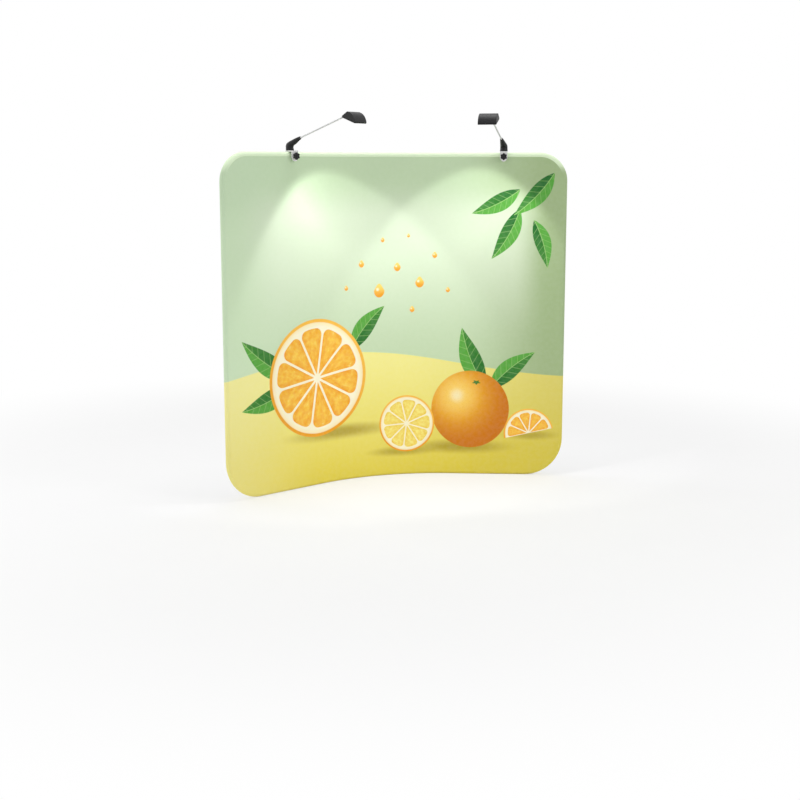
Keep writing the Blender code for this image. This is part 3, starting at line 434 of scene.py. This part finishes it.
def leaf(paint, ground, x, y, half_length, half_width, angle):
    """A pointed leaf with a midrib and side veins, paler on its lit half."""
    p, q = turn(x, y, angle)
    q = q + (p * p) * (0.9 / half_length) * 0.12
    tip = p / half_length
    shape = (1.0 - tip * tip) * half_width * (1.0 - tip * 0.30)
    mask = (shape - q.abs()).step(0.0, 0.002) * p.abs().step(half_length, half_length - 0.001)
    veins = (p - q.abs() * 0.8) * (WAVE / (half_length * 0.24))
    shade = paint.noise(14.0, 2.0)
    colour = paint.mix((q / half_width).step(-0.12, 0.12), LEAF_DEEP, LEAF_PALE)
    colour = paint.mix((tip + shade * 0.8).step(-0.9, 1.6) * 0.5, colour, LEAF_PALE)
    colour = paint.mix(veins.math("SINE").step(0.86, 1.0) * 0.35, colour, LEAF_VEIN)
    colour = paint.mix(q.abs().step(0.0024, 0.0008) * 0.8, colour, LEAF_VEIN)
    return paint.mix(mask, ground, colour)


def drop(paint, ground, x, y, size):
    """A drop of juice with a bright spot, pointed at its top."""
    round_part = length(x * (1.0 + (y / size).most(0.0) * 0.6), y * 0.82)
    colour = paint.mix((y / size).step(-1.0, 1.1), linear(240, 160, 32), linear(255, 222, 110))
    ground = paint.mix(round_part.step(size, size - EDGE), ground, colour)
    spot = length(x + size * 0.3, y - size * 0.2).step(size * 0.42, size * 0.1)
    return paint.mix(spot * 0.85, ground, linear(255, 250, 220))


def upper_field(paint, across, up):
    """Pale green, with painted shade that deepens it to the right, painted light that pales its lower left,
    and the two pools of the lamps' light painted on in pale colour.
    """
    side = across / HALF_RUN
    # painted shade: the field darkens towards the right of the wall, where less light falls
    field = paint.mix(side.step(-1.0, -0.2), linear(200, 223, 187), linear(198, 220, 182))
    field = paint.mix(side.step(0.35, 0.95), field, linear(165, 187, 139))
    # painted light: paler on the left wing below its top
    painted_left_light = side.step(-0.55, -0.90) * up.step(1.50, 1.25)
    field = paint.mix(painted_left_light * 0.35, field, linear(222, 243, 207))
    # painted light: the pools of the two lamps' light on the wall
    painted_lamp_pools = across.step(-0.92, -0.60) * across.step(0.86, 0.68) * up.step(1.56, 1.34) * up.step(0.55, 1.25)
    return paint.mix(painted_lamp_pools * 0.60, field, linear(230, 241, 218))


def lower_field(paint, across, up):
    """Yellow, deeper at its foot, with painted shade that deepens it to the right and painted light that
    pales it to the left.
    """
    side, rise = across / HALF_RUN, up / DISPLAY_HEIGHT
    field = paint.mix(rise.step(0.02, 0.38), linear(226, 208, 70), linear(246, 239, 150))
    # painted shade: darker towards the right of the wall
    field = paint.mix(side.step(0.1, 1.0) * 0.62, field, linear(212, 196, 80))
    # painted light: paler towards the left of the wall
    field = paint.mix(side.step(-0.3, -1.0) * 0.5, field, linear(250, 243, 170))
    middle = length(across + 0.1, (up - 0.30) * 2.0).step(0.9, 0.1)
    return paint.mix(middle * 0.4, field, linear(248, 238, 128))


def fruit_row(paint, ground, across, up):
    """From left to right: a cut orange, a cut lemon, a whole orange and half a slice."""
    ground = citrus(paint, ground, *turn(across + 0.40, up - 0.555, 0.15), 0.300, 10, FLESH, FLESH_DEEP)
    ground = whole_fruit(paint, ground, across - 0.47, up - 0.350, 0.205)
    ground = citrus(paint, ground, *turn(across - 0.13, up - 0.275, 0.4), 0.150, 9, LEMON, LEMON_DEEP)
    return citrus(paint, ground, *turn(across - 0.78, up - 0.225, 0.22), 0.130, 10, FLESH, FLESH_DEEP,
                  half=True)


def painted_top_light(across, up):
    """Painted light: a pale band where the cloth rolls over the top tube, standing for the light from above
    on the roll.
    """
    past_side = (across.abs() - (HALF_RUN - TOP_CORNER)).most(0.0)
    past_top = (up - (HIGH - TOP_CORNER)).most(0.0)
    rolled = (length(past_side, past_top) - TOP_CORNER + MARGIN).step(-EDGE, EDGE)
    return rolled * (past_top / TOP_CORNER).step(0.30, 0.75)


def printed_cloth_and_painted_light():
    paint = Paint("printed_cloth_and_painted_light", 0.82, uv_map="flat", Specular_IOR_Level=0.22, Sheen_Weight=0.06,
                  Sheen_Roughness=0.45)
    across, up, _ = paint.axes
    uneven = knit(paint, across, up)
    swell = (across * SWELL_TURN + SWELL_START).math("SINE") * SWELL_RISE + SWELL_MIDDLE
    ground = paint.mix((swell - up).step(-EDGE, EDGE), upper_field(paint, across, up),
                       lower_field(paint, across, up))
    for right, rise, wide, high, strength in SHADOWS:
        ground = soft_shadow(paint, ground, across - right, up - rise, wide, high, strength)
    for right, rise, half_length, half_width, angle in LEAVES:
        ground = leaf(paint, ground, across - right, up - rise, half_length, half_width, angle)
    ground = fruit_row(paint, ground, across, up)
    for right, rise, size in DROPS:
        ground = drop(paint, ground, across - right, up - rise, size)
    # painted light from above on the top roll
    ground = paint.mix(painted_top_light(across, up) * 0.8, ground, linear(234, 252, 217))
    ground = paint.mix(uneven.step(0.3, 0.7) * 0.03, ground, linear(255, 255, 255))
    paint.colour(ground)
    return paint.material


# Cloth cover

UPRIGHT_ROWS = 36
CORNER_STEPS = 14
BEND_STEPS = 44
STRAIGHT_STEPS = 10
ROLL_STEPS = 14
BACK_ROLL_STEPS = 8
SHEET_INSET = (0.030, 0.018, 0.009, 0.003)      # rings of the front sheet inside its rolled edge
RIPPLE_STAND = 0.00035      # small draws in the stretched cloth round each corner
RIPPLE_TURN = 42.0
RIPPLE_DRIFT = 3.0
RIPPLE_FADE = 0.02


def edge_points(top):
    """Run, height and outward direction along one long edge with its two corners, from left to right."""
    height, lift, radius = (HIGH, 1.0, TOP_CORNER) if top else (LOW, -1.0, BOTTOM_CORNER)
    turns = [math.pi / 2.0 * i / CORNER_STEPS for i in range(CORNER_STEPS + 1)]
    inner = HALF_RUN - radius
    corner = [(inner + radius * math.cos(t), height - lift * radius * (1.0 - math.sin(t)),
               (math.cos(t), lift * math.sin(t))) for t in turns]
    left = [(-run, z, (-out[0], out[1])) for run, z, out in corner]
    straight = [BEND_RUN + (inner - BEND_RUN) * i / STRAIGHT_STEPS for i in range(1, STRAIGHT_STEPS)]
    bend = [BEND_RUN * (2.0 * i / BEND_STEPS - 1.0) for i in range(BEND_STEPS + 1)]
    runs = [-r for r in reversed(straight)] + bend + straight
    return left + [(run, height, (0.0, lift)) for run in runs] + corner[::-1]


def border_points(bottom, top):
    """Row and column, run, height and outward direction of each place round the border of the grid."""
    right, left = [], []
    for side, column, out in ((right, len(bottom) - 1, (1.0, 0.0)), (left, 0, (-1.0, 0.0))):
        low, high = bottom[column], top[column]
        for row in range(1, UPRIGHT_ROWS):
            share = row / UPRIGHT_ROWS
            run = low[0] + (high[0] - low[0]) * share
            height = low[1] + (high[1] - low[1]) * share
            side.append(((row, column), run, height, out))
    below = [((0, i), *point) for i, point in enumerate(bottom)]
    above = [((UPRIGHT_ROWS, i), *point) for i, point in enumerate(top)]
    return below + right + above[::-1] + left[::-1]


def roll_section(reach):
    """Forward and outward offsets at a length round the rolled edge, measured from the front."""
    if reach < 0.0:
        return ROLL_INNER, reach
    if reach > HALF_ROUND:
        return -ROLL_INNER, HALF_ROUND - reach
    return ROLL_INNER * math.cos(reach / ROLL_INNER), ROLL_INNER * math.sin(reach / ROLL_INNER)


def seam_lengths(out):
    """Where the front sheet leaves the round of the tube, and where its edge lies."""
    down = math.asin(max(0.0, min(1.0, -out[1]))) / (math.pi / 2.0)
    wrap = min(1.0, down / WRAP_SHARE)
    rise = max(0.0, (down - WRAP_SHARE) / (1.0 - WRAP_SHARE))
    round_length = ROLL_INNER * (SEAM_ANGLE + (math.pi - SEAM_ANGLE) * wrap)
    return round_length, round_length + SEAM_STEP + (SEAM_RISE - SEAM_STEP) * rise


def front_lengths(out):
    """Lengths round the section at which the front sheet has its rings."""
    round_length, edge = seam_lengths(out)
    steps = [round_length * i / ROLL_STEPS for i in range(ROLL_STEPS + 1)]
    return [-inset for inset in SHEET_INSET] + steps + [(round_length + edge) / 2.0, edge]


def back_lengths(out):
    """The same for the back sheet, from its flat down to the seam."""
    edge = seam_lengths(out)[1] + SEAM_GAP
    start = HALF_ROUND + max(0.0, edge - HALF_ROUND) + SEAM_STEP
    inner = HALF_ROUND + SHEET_INSET[0]
    steps = [start + (edge - start) * i / BACK_ROLL_STEPS for i in range(BACK_ROLL_STEPS + 1)]
    return [inner, (inner + start) / 2.0] + steps


def draw(run, out, reach):
    """How far the stretched cloth stands off its smooth surface round a corner."""
    corner = min(abs(out[0]), abs(out[1])) * 2.0
    ripple = math.sin(RIPPLE_TURN * math.atan2(out[1], out[0]) + RIPPLE_DRIFT * run)
    return RIPPLE_STAND * corner * ripple * math.exp(-max(0.0, -reach) / RIPPLE_FADE)


def rolled_point(shape, flat, run, height, out, reach, facing):
    """A point of a sheet's rolled edge, which also keeps its place on the flat cloth."""
    forward, outward = roll_section(reach)
    stand = draw(run, out, reach) * (1.0 if forward >= 0.0 else -1.0)
    where = wall_point(run, height) + front(run) * (forward + stand)
    where += (along(run) * out[0] + Vector((0.0, 0.0, out[1]))) * outward
    where.z = max(where.z, GROUND + CLOTH)
    vert = shape.verts.new(where)
    lay = reach if facing > 0.0 else HALF_ROUND - reach
    vert[flat] = Vector((run + out[0] * lay, height + out[1] * lay, 0.0))
    return vert


def fill_grid(shape, flat, grid, columns, depth):
    """The points and faces of the flat of a sheet, inside a border that is already in the grid."""
    for i in range(1, columns - 1):
        low, high = grid[(0, i)][flat], grid[(UPRIGHT_ROWS, i)][flat]
        for j in range(1, UPRIGHT_ROWS):
            run, height, _ = low.lerp(high, j / UPRIGHT_ROWS)
            vert = shape.verts.new(wall_point(run, height) + front(run) * depth)
            vert[flat] = Vector((run, height, 0.0))
            grid[(j, i)] = vert
    for j in range(UPRIGHT_ROWS):
        for i in range(columns - 1):
            shape.faces.new((grid[(j, i)], grid[(j, i + 1)], grid[(j + 1, i + 1)], grid[(j + 1, i)]))


def join_rings(shape, rings):
    for near, far in zip(rings[:-1], rings[1:]):
        for k, vert in enumerate(near):
            after = (k + 1) % len(near)
            shape.faces.new((vert, far[k], far[after], near[after]))


def keep_flat_as_uv(shape, flat):
    """Turn the places on the flat cloth into the UV map that the knit and the print follow."""
    layer = shape.loops.layers.uv.new("flat")
    for face in shape.faces:
        for loop in face.loops:
            loop[layer].uv = loop.vert[flat].xy
    points = shape.verts.layers.float_vector
    points.remove(points["flat_at"])


def cloth_sheet(name, lengths_at, facing):
    """One sheet: a fine grid over the flat of the frame, and rings that roll over its edge."""
    bottom, top = edge_points(False), edge_points(True)
    border = border_points(bottom, top)
    shape = bmesh.new()
    flat = shape.verts.layers.float_vector.new("flat_at")
    straight = lengths_at((0.0, 1.0))
    rings = [[rolled_point(shape, flat, run, height, out, lengths_at(out)[step], facing)
              for _, run, height, out in border] for step in range(len(straight))]
    grid = {place: vert for (place, *_), vert in zip(border, rings[0])}
    fill_grid(shape, flat, grid, len(bottom), roll_section(straight[0])[0])
    join_rings(shape, rings)
    if facing < 0.0:
        bmesh.ops.reverse_faces(shape, faces=shape.faces)
    keep_flat_as_uv(shape, flat)
    item = mesh_object(name, shape, 80.0)
    shell = item.modifiers.new("cloth thickness", "SOLIDIFY")
    shell.thickness = CLOTH
    shell.offset = 1.0
    shell.use_even_offset = True
    return item


# Each sheet's flat size is the frame's between its centre lines, and what rolls over each edge to the seam
cloth_front = cloth_sheet("cloth_front", front_lengths, 1.0)
finish_piece(cloth_front, printed_cloth_and_painted_light(), replaces=["fabric_front"])
cloth_back = cloth_sheet("cloth_back", back_lengths, -1.0)
finish_piece(cloth_back, plain_cloth("plain_cloth", (0.74, 0.76, 0.73)),
             replaces=["fabric_back"])


# Seams and zipper
# A block's size is its length, its width and how far it stands out, and its taper is how it narrows outwards

THREAD = 0.0005
STITCH_PITCH = 0.0032
STITCH_LENGTH = 0.0024
STITCH_TAPER = 0.72
STITCH_SINK_SHARE = 0.4
SEAM_MARGIN = 0.0035        # from the seam to each row of stitches
SIDE_STEPS = 60
TAPE_STITCH_RISE = 0.0065   # from the zipper's middle line to each row of stitches on its tape
TAPE_STITCH_INSET = 0.002
ZIPPER_STEPS = 160
ZIPPER_LINE = LOW + SEAM_RISE
TEETH_HALF_RUN = ZIP_HALF - 0.006
TOOTH_PITCH = 0.0025
TOOTH, TOOTH_TAPER, TOOTH_OFFSET = (0.00155, 0.0030, 0.0013), 0.80, 0.0009
HEAD, HEAD_TAPER, HEAD_OFFSET = (0.00195, 0.0010, 0.0012), 0.85, 0.0002
STOP, STOP_TAPER, STOP_INSET = (0.0024, 0.0050, 0.0013), 0.85, 0.0012
CORD_OFFSET, CORD_HEIGHT, CORD_STAND = 0.0021, 0.0008, 0.0009


def add_block(shape, where, forward, out, size, taper):
    """A small block that lies along forward and stands out from its surface."""
    across = out.cross(forward)
    corners = []
    for rise, share in ((0.0, 1.0), (size[2], taper)):
        for u, v in ((-1.0, -1.0), (1.0, -1.0), (1.0, 1.0), (-1.0, 1.0)):
            corners.append(shape.verts.new(where + forward * (u * size[0] / 2.0 * share)
                                           + across * (v * size[1] / 2.0 * share) + out * rise))
    for loop in ((3, 2, 1, 0), (4, 5, 6, 7), (0, 1, 5, 4), (1, 2, 6, 5), (2, 3, 7, 6), (3, 0, 4, 7)):
        shape.faces.new([corners[i] for i in loop])


def add_stitches(shape, places):
    """Stitches at an even pitch along a row of surface points, each given with its outward direction."""
    travelled, wanted = 0.0, STITCH_PITCH
    for (first, out), (last, after) in zip(places[:-1], places[1:]):
        span = (last - first).length
        while wanted <= travelled + span:
            share = (wanted - travelled) / span
            normal = out.lerp(after, share).normalized()
            forward = (last - first).normalized()
            forward = (forward - normal * forward.dot(normal)).normalized()
            foot = first.lerp(last, share) - normal * THREAD * STITCH_SINK_SHARE
            add_block(shape, foot, forward, normal, (STITCH_LENGTH, THREAD, THREAD), STITCH_TAPER)
            wanted += STITCH_PITCH
        travelled += span


def add_cord(shape, places, height, stand):
    """A square cord along a row of surface points, given as in add_stitches, with closed ends."""
    rings, half = [], Vector((0.0, 0.0, height / 2.0))
    for place, out in places:
        low, high = place - half, place + half
        corners = (low, high, high + out * stand, low + out * stand)
        rings.append([shape.verts.new(corner) for corner in corners])
    join_rings(shape, rings)
    shape.faces.new(rings[0])
    shape.faces.new(rings[-1][::-1])


def surface_place(run, height, out, reach):
    """A point on the outside of the rolled cloth and the direction that it faces."""
    forward, outward = roll_section(reach)
    plane = along(run) * out[0] + Vector((0.0, 0.0, out[1]))
    centre = wall_point(run, height)
    if reach > HALF_ROUND:
        normal = -front(run)
    else:
        normal = (front(run) * forward + plane * outward).normalized()
    return centre + front(run) * forward + plane * outward + normal * CLOTH, normal


def seam_stitches():
    """A row of stitches on each side of the seam, from one end of the zipper over the top to the other."""
    bottom, top = edge_points(False), edge_points(True)
    half = len(bottom) // 2
    low, high = bottom[0][1], top[0][1]
    side_left = [(-HALF_RUN, low + (high - low) * i / SIDE_STEPS, (-1.0, 0.0)) for i in range(1, SIDE_STEPS)]
    side_right = [(HALF_RUN, z, (1.0, 0.0)) for _, z, _ in reversed(side_left)]
    path = bottom[half::-1] + side_left + top + side_right + bottom[:half - 1:-1]
    path = [row for row in path if abs(row[0]) > ZIP_HALF or row[1] > DISPLAY_HEIGHT / 2.0]
    shape = bmesh.new()
    for offset in (-SEAM_MARGIN, SEAM_GAP + SEAM_MARGIN):
        places = [surface_place(run, z, out, seam_lengths(out)[1] + offset) for run, z, out in path]
        add_stitches(shape, places)
    return mesh_object("seam_stitches", shape)


def zipper_places(height, stand, half):
    """Points along the back of the cover, from one end of the zipper to the other."""
    runs = [half * (2.0 * i / ZIPPER_STEPS - 1.0) for i in range(ZIPPER_STEPS + 1)]
    return [(back_point(run, height, stand), -front(run)) for run in runs]


def zipper_teeth():
    """Two rows of teeth that mesh on the zipper's line, on their woven cords, and a stop at each end."""
    shape = bmesh.new()
    for i in range(int(2.0 * TEETH_HALF_RUN / TOOTH_PITCH) * 2 - 2):
        run = -TEETH_HALF_RUN + TOOTH_PITCH * (i / 2.0 + 0.75)
        side = 1.0 if i % 2 else -1.0
        for offset, size, taper in ((TOOTH_OFFSET, TOOTH, TOOTH_TAPER), (-HEAD_OFFSET, HEAD, HEAD_TAPER)):
            foot = back_point(run, ZIPPER_LINE + side * offset, TEETH_FACE)
            add_block(shape, foot, along(run), -front(run), size, taper)
    for side in (-1.0, 1.0):
        line = zipper_places(ZIPPER_LINE + side * CORD_OFFSET, TEETH_FACE, TEETH_HALF_RUN)
        add_cord(shape, line, CORD_HEIGHT, CORD_STAND)
        run = side * (TEETH_HALF_RUN - STOP_INSET)
        foot = back_point(run, ZIPPER_LINE, TEETH_FACE)
        add_block(shape, foot, along(run), -front(run), STOP, STOP_TAPER)
    return mesh_object("zipper_teeth_fine", shape)


def zipper_stitches():
    """A row of stitches along each side of the zipper's tape."""
    shape = bmesh.new()
    for rise in (-TAPE_STITCH_RISE, TAPE_STITCH_RISE):
        add_stitches(shape, zipper_places(ZIPPER_LINE + rise, TAPE_FACE + TAPE_THICKNESS,
                                          ZIP_HALF - TAPE_STITCH_INSET))
    return mesh_object("zipper_stitches", shape)


THREAD_LOOK = plastic("polyester_thread", (0.80, 0.81, 0.78), 0.62, 4000.0, 0.00002, 0.04)
COIL_LOOK = plastic("zipper_coil_plastic", (0.78, 0.79, 0.77), 0.38, 2400.0, 0.00002, 0.05)
finish_piece(seam_stitches(), THREAD_LOOK)
finish_piece(zipper_stitches(), THREAD_LOOK)
finish_piece(zipper_teeth(), COIL_LOOK, replaces=["zipper_teeth"])


# The CAD's own pieces

LOOKS = {
    "aluminium_tube": metal("anodised_tube", (0.74, 0.75, 0.77), 0.34, (1.0, 1.0, 0.08)),
    "saddle_plastic": plastic("saddle_plastic", (0.20, 0.20, 0.21), 0.55),
    "spring_steel": metal("spring_steel", (0.48, 0.49, 0.52), 0.34, (1.0, 0.2, 1.0)),
    "steel": metal("nickel_steel", (0.66, 0.66, 0.67), 0.28, (1.0, 1.0, 0.2), 1400.0, 0.00002),
    "silver_rod": metal("satin_rod", (0.64, 0.64, 0.65), 0.52, (0.25, 0.25, 1.0), 1200.0, 0.000004, 0.25),
    "black_plastic": plastic("lamp_black", (0.008, 0.008, 0.009), 0.48, 1400.0, 0.000015, 0.20,
                             Specular_IOR_Level=0.30),
    "clamp_plastic": plastic("clamp_white", (0.84, 0.84, 0.83), 0.34, 1200.0, 0.00003, 0.04),
    "rubber": plastic("soft_rubber", (0.035, 0.035, 0.036), 0.78, 1400.0, 0.00010, 0.2),
    "zipper_tape": woven_tape("zipper_tape_cloth", (0.80, 0.81, 0.79)),
    "zipper_teeth": COIL_LOOK,
    "clear_lens": frosted_lens("lit_lens"),
    "light_board": plastic("board_white", (0.78, 0.79, 0.77), 0.40, 900.0, 0.00002, 0.05),
    "printed_fabric": cloth_front.data.materials[0],
    "white_fabric": cloth_back.data.materials[0],
}
# How far the edges of some nodes are rounded, by the start of their names
ROUNDED = {"lamp_clamp": 0.0006, "post_saddle": 0.0006, "zipper_slider": 0.0003, "zipper_pull": 0.0003,
           "head_lens": 0.0004}
SAME_POINT = 0.00001
SAME_PLANE = math.radians(0.5)
ROUNDED_ABOVE = math.radians(50.0)
SHARP_ABOVE = math.radians(38.0)


def smooth_shading():
    """A modifier's nodes that shade round faces smoothly and keep the other edges sharp."""
    tree = bpy.data.node_groups.new("smooth_shading", "GeometryNodeTree")
    for direction in ("INPUT", "OUTPUT"):
        tree.interface.new_socket("Geometry", in_out=direction, socket_type="NodeSocketGeometry")
    plain = tree.nodes.new("GeometryNodeRemoveAttribute")
    plain.inputs["Name"].default_value = "custom_normal"
    faces = tree.nodes.new("GeometryNodeSetShadeSmooth")
    edges = tree.nodes.new("GeometryNodeSetShadeSmooth")
    edges.domain = "EDGE"
    edges.inputs["Shade Smooth"].default_value = False
    angle = Field(tree, tree.nodes.new("GeometryNodeInputMeshEdgeAngle").outputs["Unsigned Angle"])
    tree.links.new(angle.math("GREATER_THAN", SHARP_ABOVE).socket, edges.inputs["Selection"])
    chain = (tree.nodes.new("NodeGroupInput"), plain, faces, edges, tree.nodes.new("NodeGroupOutput"))
    for node, after in zip(chain[:-1], chain[1:]):
        tree.links.new(node.outputs[0], after.inputs[0])
    return tree


def soften(node, shading, edge):
    """Join the node's separate triangles, round its edges a little where an edge width is given, and shade it
    smoothly.
    """
    node.modifiers.new("joined triangles", "WELD").merge_threshold = SAME_POINT
    if edge:
        flats = node.modifiers.new("whole flats", "DECIMATE")
        flats.decimate_type, flats.angle_limit = "DISSOLVE", SAME_PLANE
        rounding = node.modifiers.new("softened edges", "BEVEL")
        rounding.width, rounding.segments = edge, 2
        rounding.limit_method, rounding.angle_limit = "ANGLE", ROUNDED_ABOVE
    node.modifiers.new("smooth shading", "NODES").node_group = shading
    node.modifiers.new("flat flats", "WEIGHTED_NORMAL").keep_sharp = True


def dress_cad_nodes():
    """Give every node that the CAD made its look."""
    shading = smooth_shading()
    slots = {row["node"]: row["material_slot"] for row in frame["record"]["subparts"]}
    for name, node in frame["nodes"].items():
        if not node.data.materials:
            node.data.materials.append(None)
        for place in node.material_slots:
            place.material = LOOKS[slots[name]]
        soften(node, shading, next((edge for start, edge in ROUNDED.items() if name.startswith(start)), None))


dress_cad_nodes()


# Stage and light

WORLD_LEVEL = 0.60
# Name, place, what it points at, diameter and power of each soft light
SOFT_LIGHTS = (("overhead", (0.0, 0.1, 4.4), (0.0, -0.1, 0.8), 2.4, 62.0),
               ("key", (3.2, -4.2, 3.0), (0.0, 0.0, 0.9), 2.2, 48.0),
               ("back", (-3.6, 2.6, 3.0), (0.0, 0.0, 0.9), 2.2, 30.0),
               ("side", (-4.2, -0.8, 1.4), (-0.4, 0.0, 0.9), 1.8, 22.0))
FLOOR_RADIUS = 30.0
FLOOR_FADE = (1.6, 3.8)     # where the floor begins to turn white, and where it is white
LAMP_POWER = 2.35
LAMP_TURN = Vector((0.15, 1.0, 0.0)).normalized()   # where a lamp's light leans to, in plan
LAMP_TILT = math.radians(22.2)      # how far it leans from straight down
LAMP_SPOT = math.radians(84.0)
LAMP_DROP = 0.012
CONE_FULL, CONE_END = math.radians(33.5), math.radians(40.0)
LAMP_BRIGHTEST = 6.0


def area_light(name, place, aim, size, power):
    lamp = bpy.data.lights.new(name, "AREA")
    lamp.shape, lamp.size, lamp.energy = "DISK", size, power
    item = link(bpy.data.objects.new(name, lamp))
    item.location = place
    item.rotation_euler = (Vector(aim) - Vector(place)).to_track_quat("-Z", "Y").to_euler()


def white_floor():
    """A pale floor that turns into the white background away from the object and keeps the shadow near it."""
    paint = Paint("pale_floor", 0.7, Specular_IOR_Level=0.1)
    tree = paint.tree
    x, y, _ = paint.axes
    paint.colour(paint.mix(paint.noise(3.0, 2.0), (0.86, 0.86, 0.86), (0.88, 0.88, 0.88)))
    glow = paint.node("ShaderNodeEmission")
    glow.inputs["Strength"].default_value = 1.0
    far = length(x, y).step(*FLOOR_FADE)
    seen = Field(tree, paint.node("ShaderNodeLightPath").outputs["Is Camera Ray"])
    blend = paint.node("ShaderNodeMixShader")
    tree.links.new((seen * (far * 0.5 + 0.5)).socket, blend.inputs[0])
    tree.links.new(paint.shader.outputs[0], blend.inputs[1])
    tree.links.new(glow.outputs[0], blend.inputs[2])
    tree.links.new(blend.outputs[0], tree.nodes["Material Output"].inputs["Surface"])
    shape = bmesh.new()
    bmesh.ops.create_circle(shape, cap_ends=True, segments=64, radius=FLOOR_RADIUS)
    floor = mesh_object("floor", shape)
    floor.location.z = GROUND
    floor.data.materials.append(paint.material)


def white_world():
    """Even light from all round, and plain white where the camera, a mirror or glass sees past the object."""
    world = bpy.data.worlds.new("studio")
    world.use_nodes = True
    tree = world.node_tree
    tree.nodes.clear()
    path = tree.nodes.new("ShaderNodeLightPath")
    seen = Field(tree, path.outputs["Is Camera Ray"])
    for ray in ("Is Glossy Ray", "Is Transmission Ray"):
        seen = seen.most(Field(tree, path.outputs[ray]))
    back = tree.nodes.new("ShaderNodeBackground")
    back.inputs["Color"].default_value = (1.0, 1.0, 1.0, 1.0)
    tree.links.new((seen * (1.0 - WORLD_LEVEL) + WORLD_LEVEL).socket, back.inputs["Strength"])
    out = tree.nodes.new("ShaderNodeOutputWorld")
    tree.links.new(back.outputs[0], out.inputs["Surface"])
    bpy.context.scene.world = world


def lamp_glow(side):
    """The light of one display lamp, which rides on its head.

    The reflector spreads the light evenly down the wall, in a cone that leaves the top of the wall dark.
    """
    low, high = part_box("head_lens_" + side)
    aim = LAMP_TURN * math.sin(LAMP_TILT) - Vector((0.0, 0.0, math.cos(LAMP_TILT)))
    spot = bpy.data.lights.new("display_lamp_" + side, "SPOT")
    spot.energy, spot.spot_size, spot.spot_blend = LAMP_POWER, LAMP_SPOT, 0.05
    spot.shadow_soft_size = 0.02
    spot.use_nodes = True
    tree = spot.node_tree
    split = tree.nodes.new("ShaderNodeSeparateXYZ")
    tree.links.new(tree.nodes.new("ShaderNodeTexCoord").outputs["Normal"], split.inputs[0])
    sideways, upward, ahead = (Field(tree, socket) for socket in split.outputs)
    ahead = ahead.abs()
    to_wall = (upward * math.cos(LAMP_TILT) + ahead * math.sin(LAMP_TILT)).most(0.1)
    spread = to_wall.math("POWER", -3.0).least(LAMP_BRIGHTEST) * (1.0 - sideways * sideways)
    cone = ahead.step(math.cos(CONE_END), math.cos(CONE_FULL))
    tree.links.new((spread * cone).socket, tree.nodes["Emission"].inputs["Strength"])
    item = link(bpy.data.objects.new("display_lamp_" + side, spot))
    item.location = (low + high) / 2.0 + aim * LAMP_DROP
    item.rotation_euler = aim.to_track_quat("-Z", "Y").to_euler()
    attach(item, "head_%s_body" % side)


white_floor()
white_world()
for soft_light in SOFT_LIGHTS:
    area_light(*soft_light)
for lamp_side in ("left", "right"):
    lamp_glow(lamp_side)


# Camera

CAMERA_PLACE = (-2.2127, -6.4998, 1.6053)
CAMERA_YAW = 0.3419         # to the right of +Y, in radians
CAMERA_PITCH = 0.1733       # below the horizon
CAMERA_LENS = 59.78
CAMERA_SENSOR = 36.0


def set_camera():
    data = bpy.data.cameras.new("camera")
    data.sensor_width, data.sensor_fit, data.lens = CAMERA_SENSOR, "HORIZONTAL", CAMERA_LENS
    camera = link(bpy.data.objects.new("camera", data))
    camera.location = CAMERA_PLACE
    level = math.cos(CAMERA_PITCH)
    look = Vector((math.sin(CAMERA_YAW) * level, math.cos(CAMERA_YAW) * level, -math.sin(CAMERA_PITCH)))
    camera.rotation_euler = look.to_track_quat("-Z", "Y").to_euler()
    bpy.context.scene.camera = camera


set_camera()
bpy.context.scene.view_settings.view_transform = "Standard"
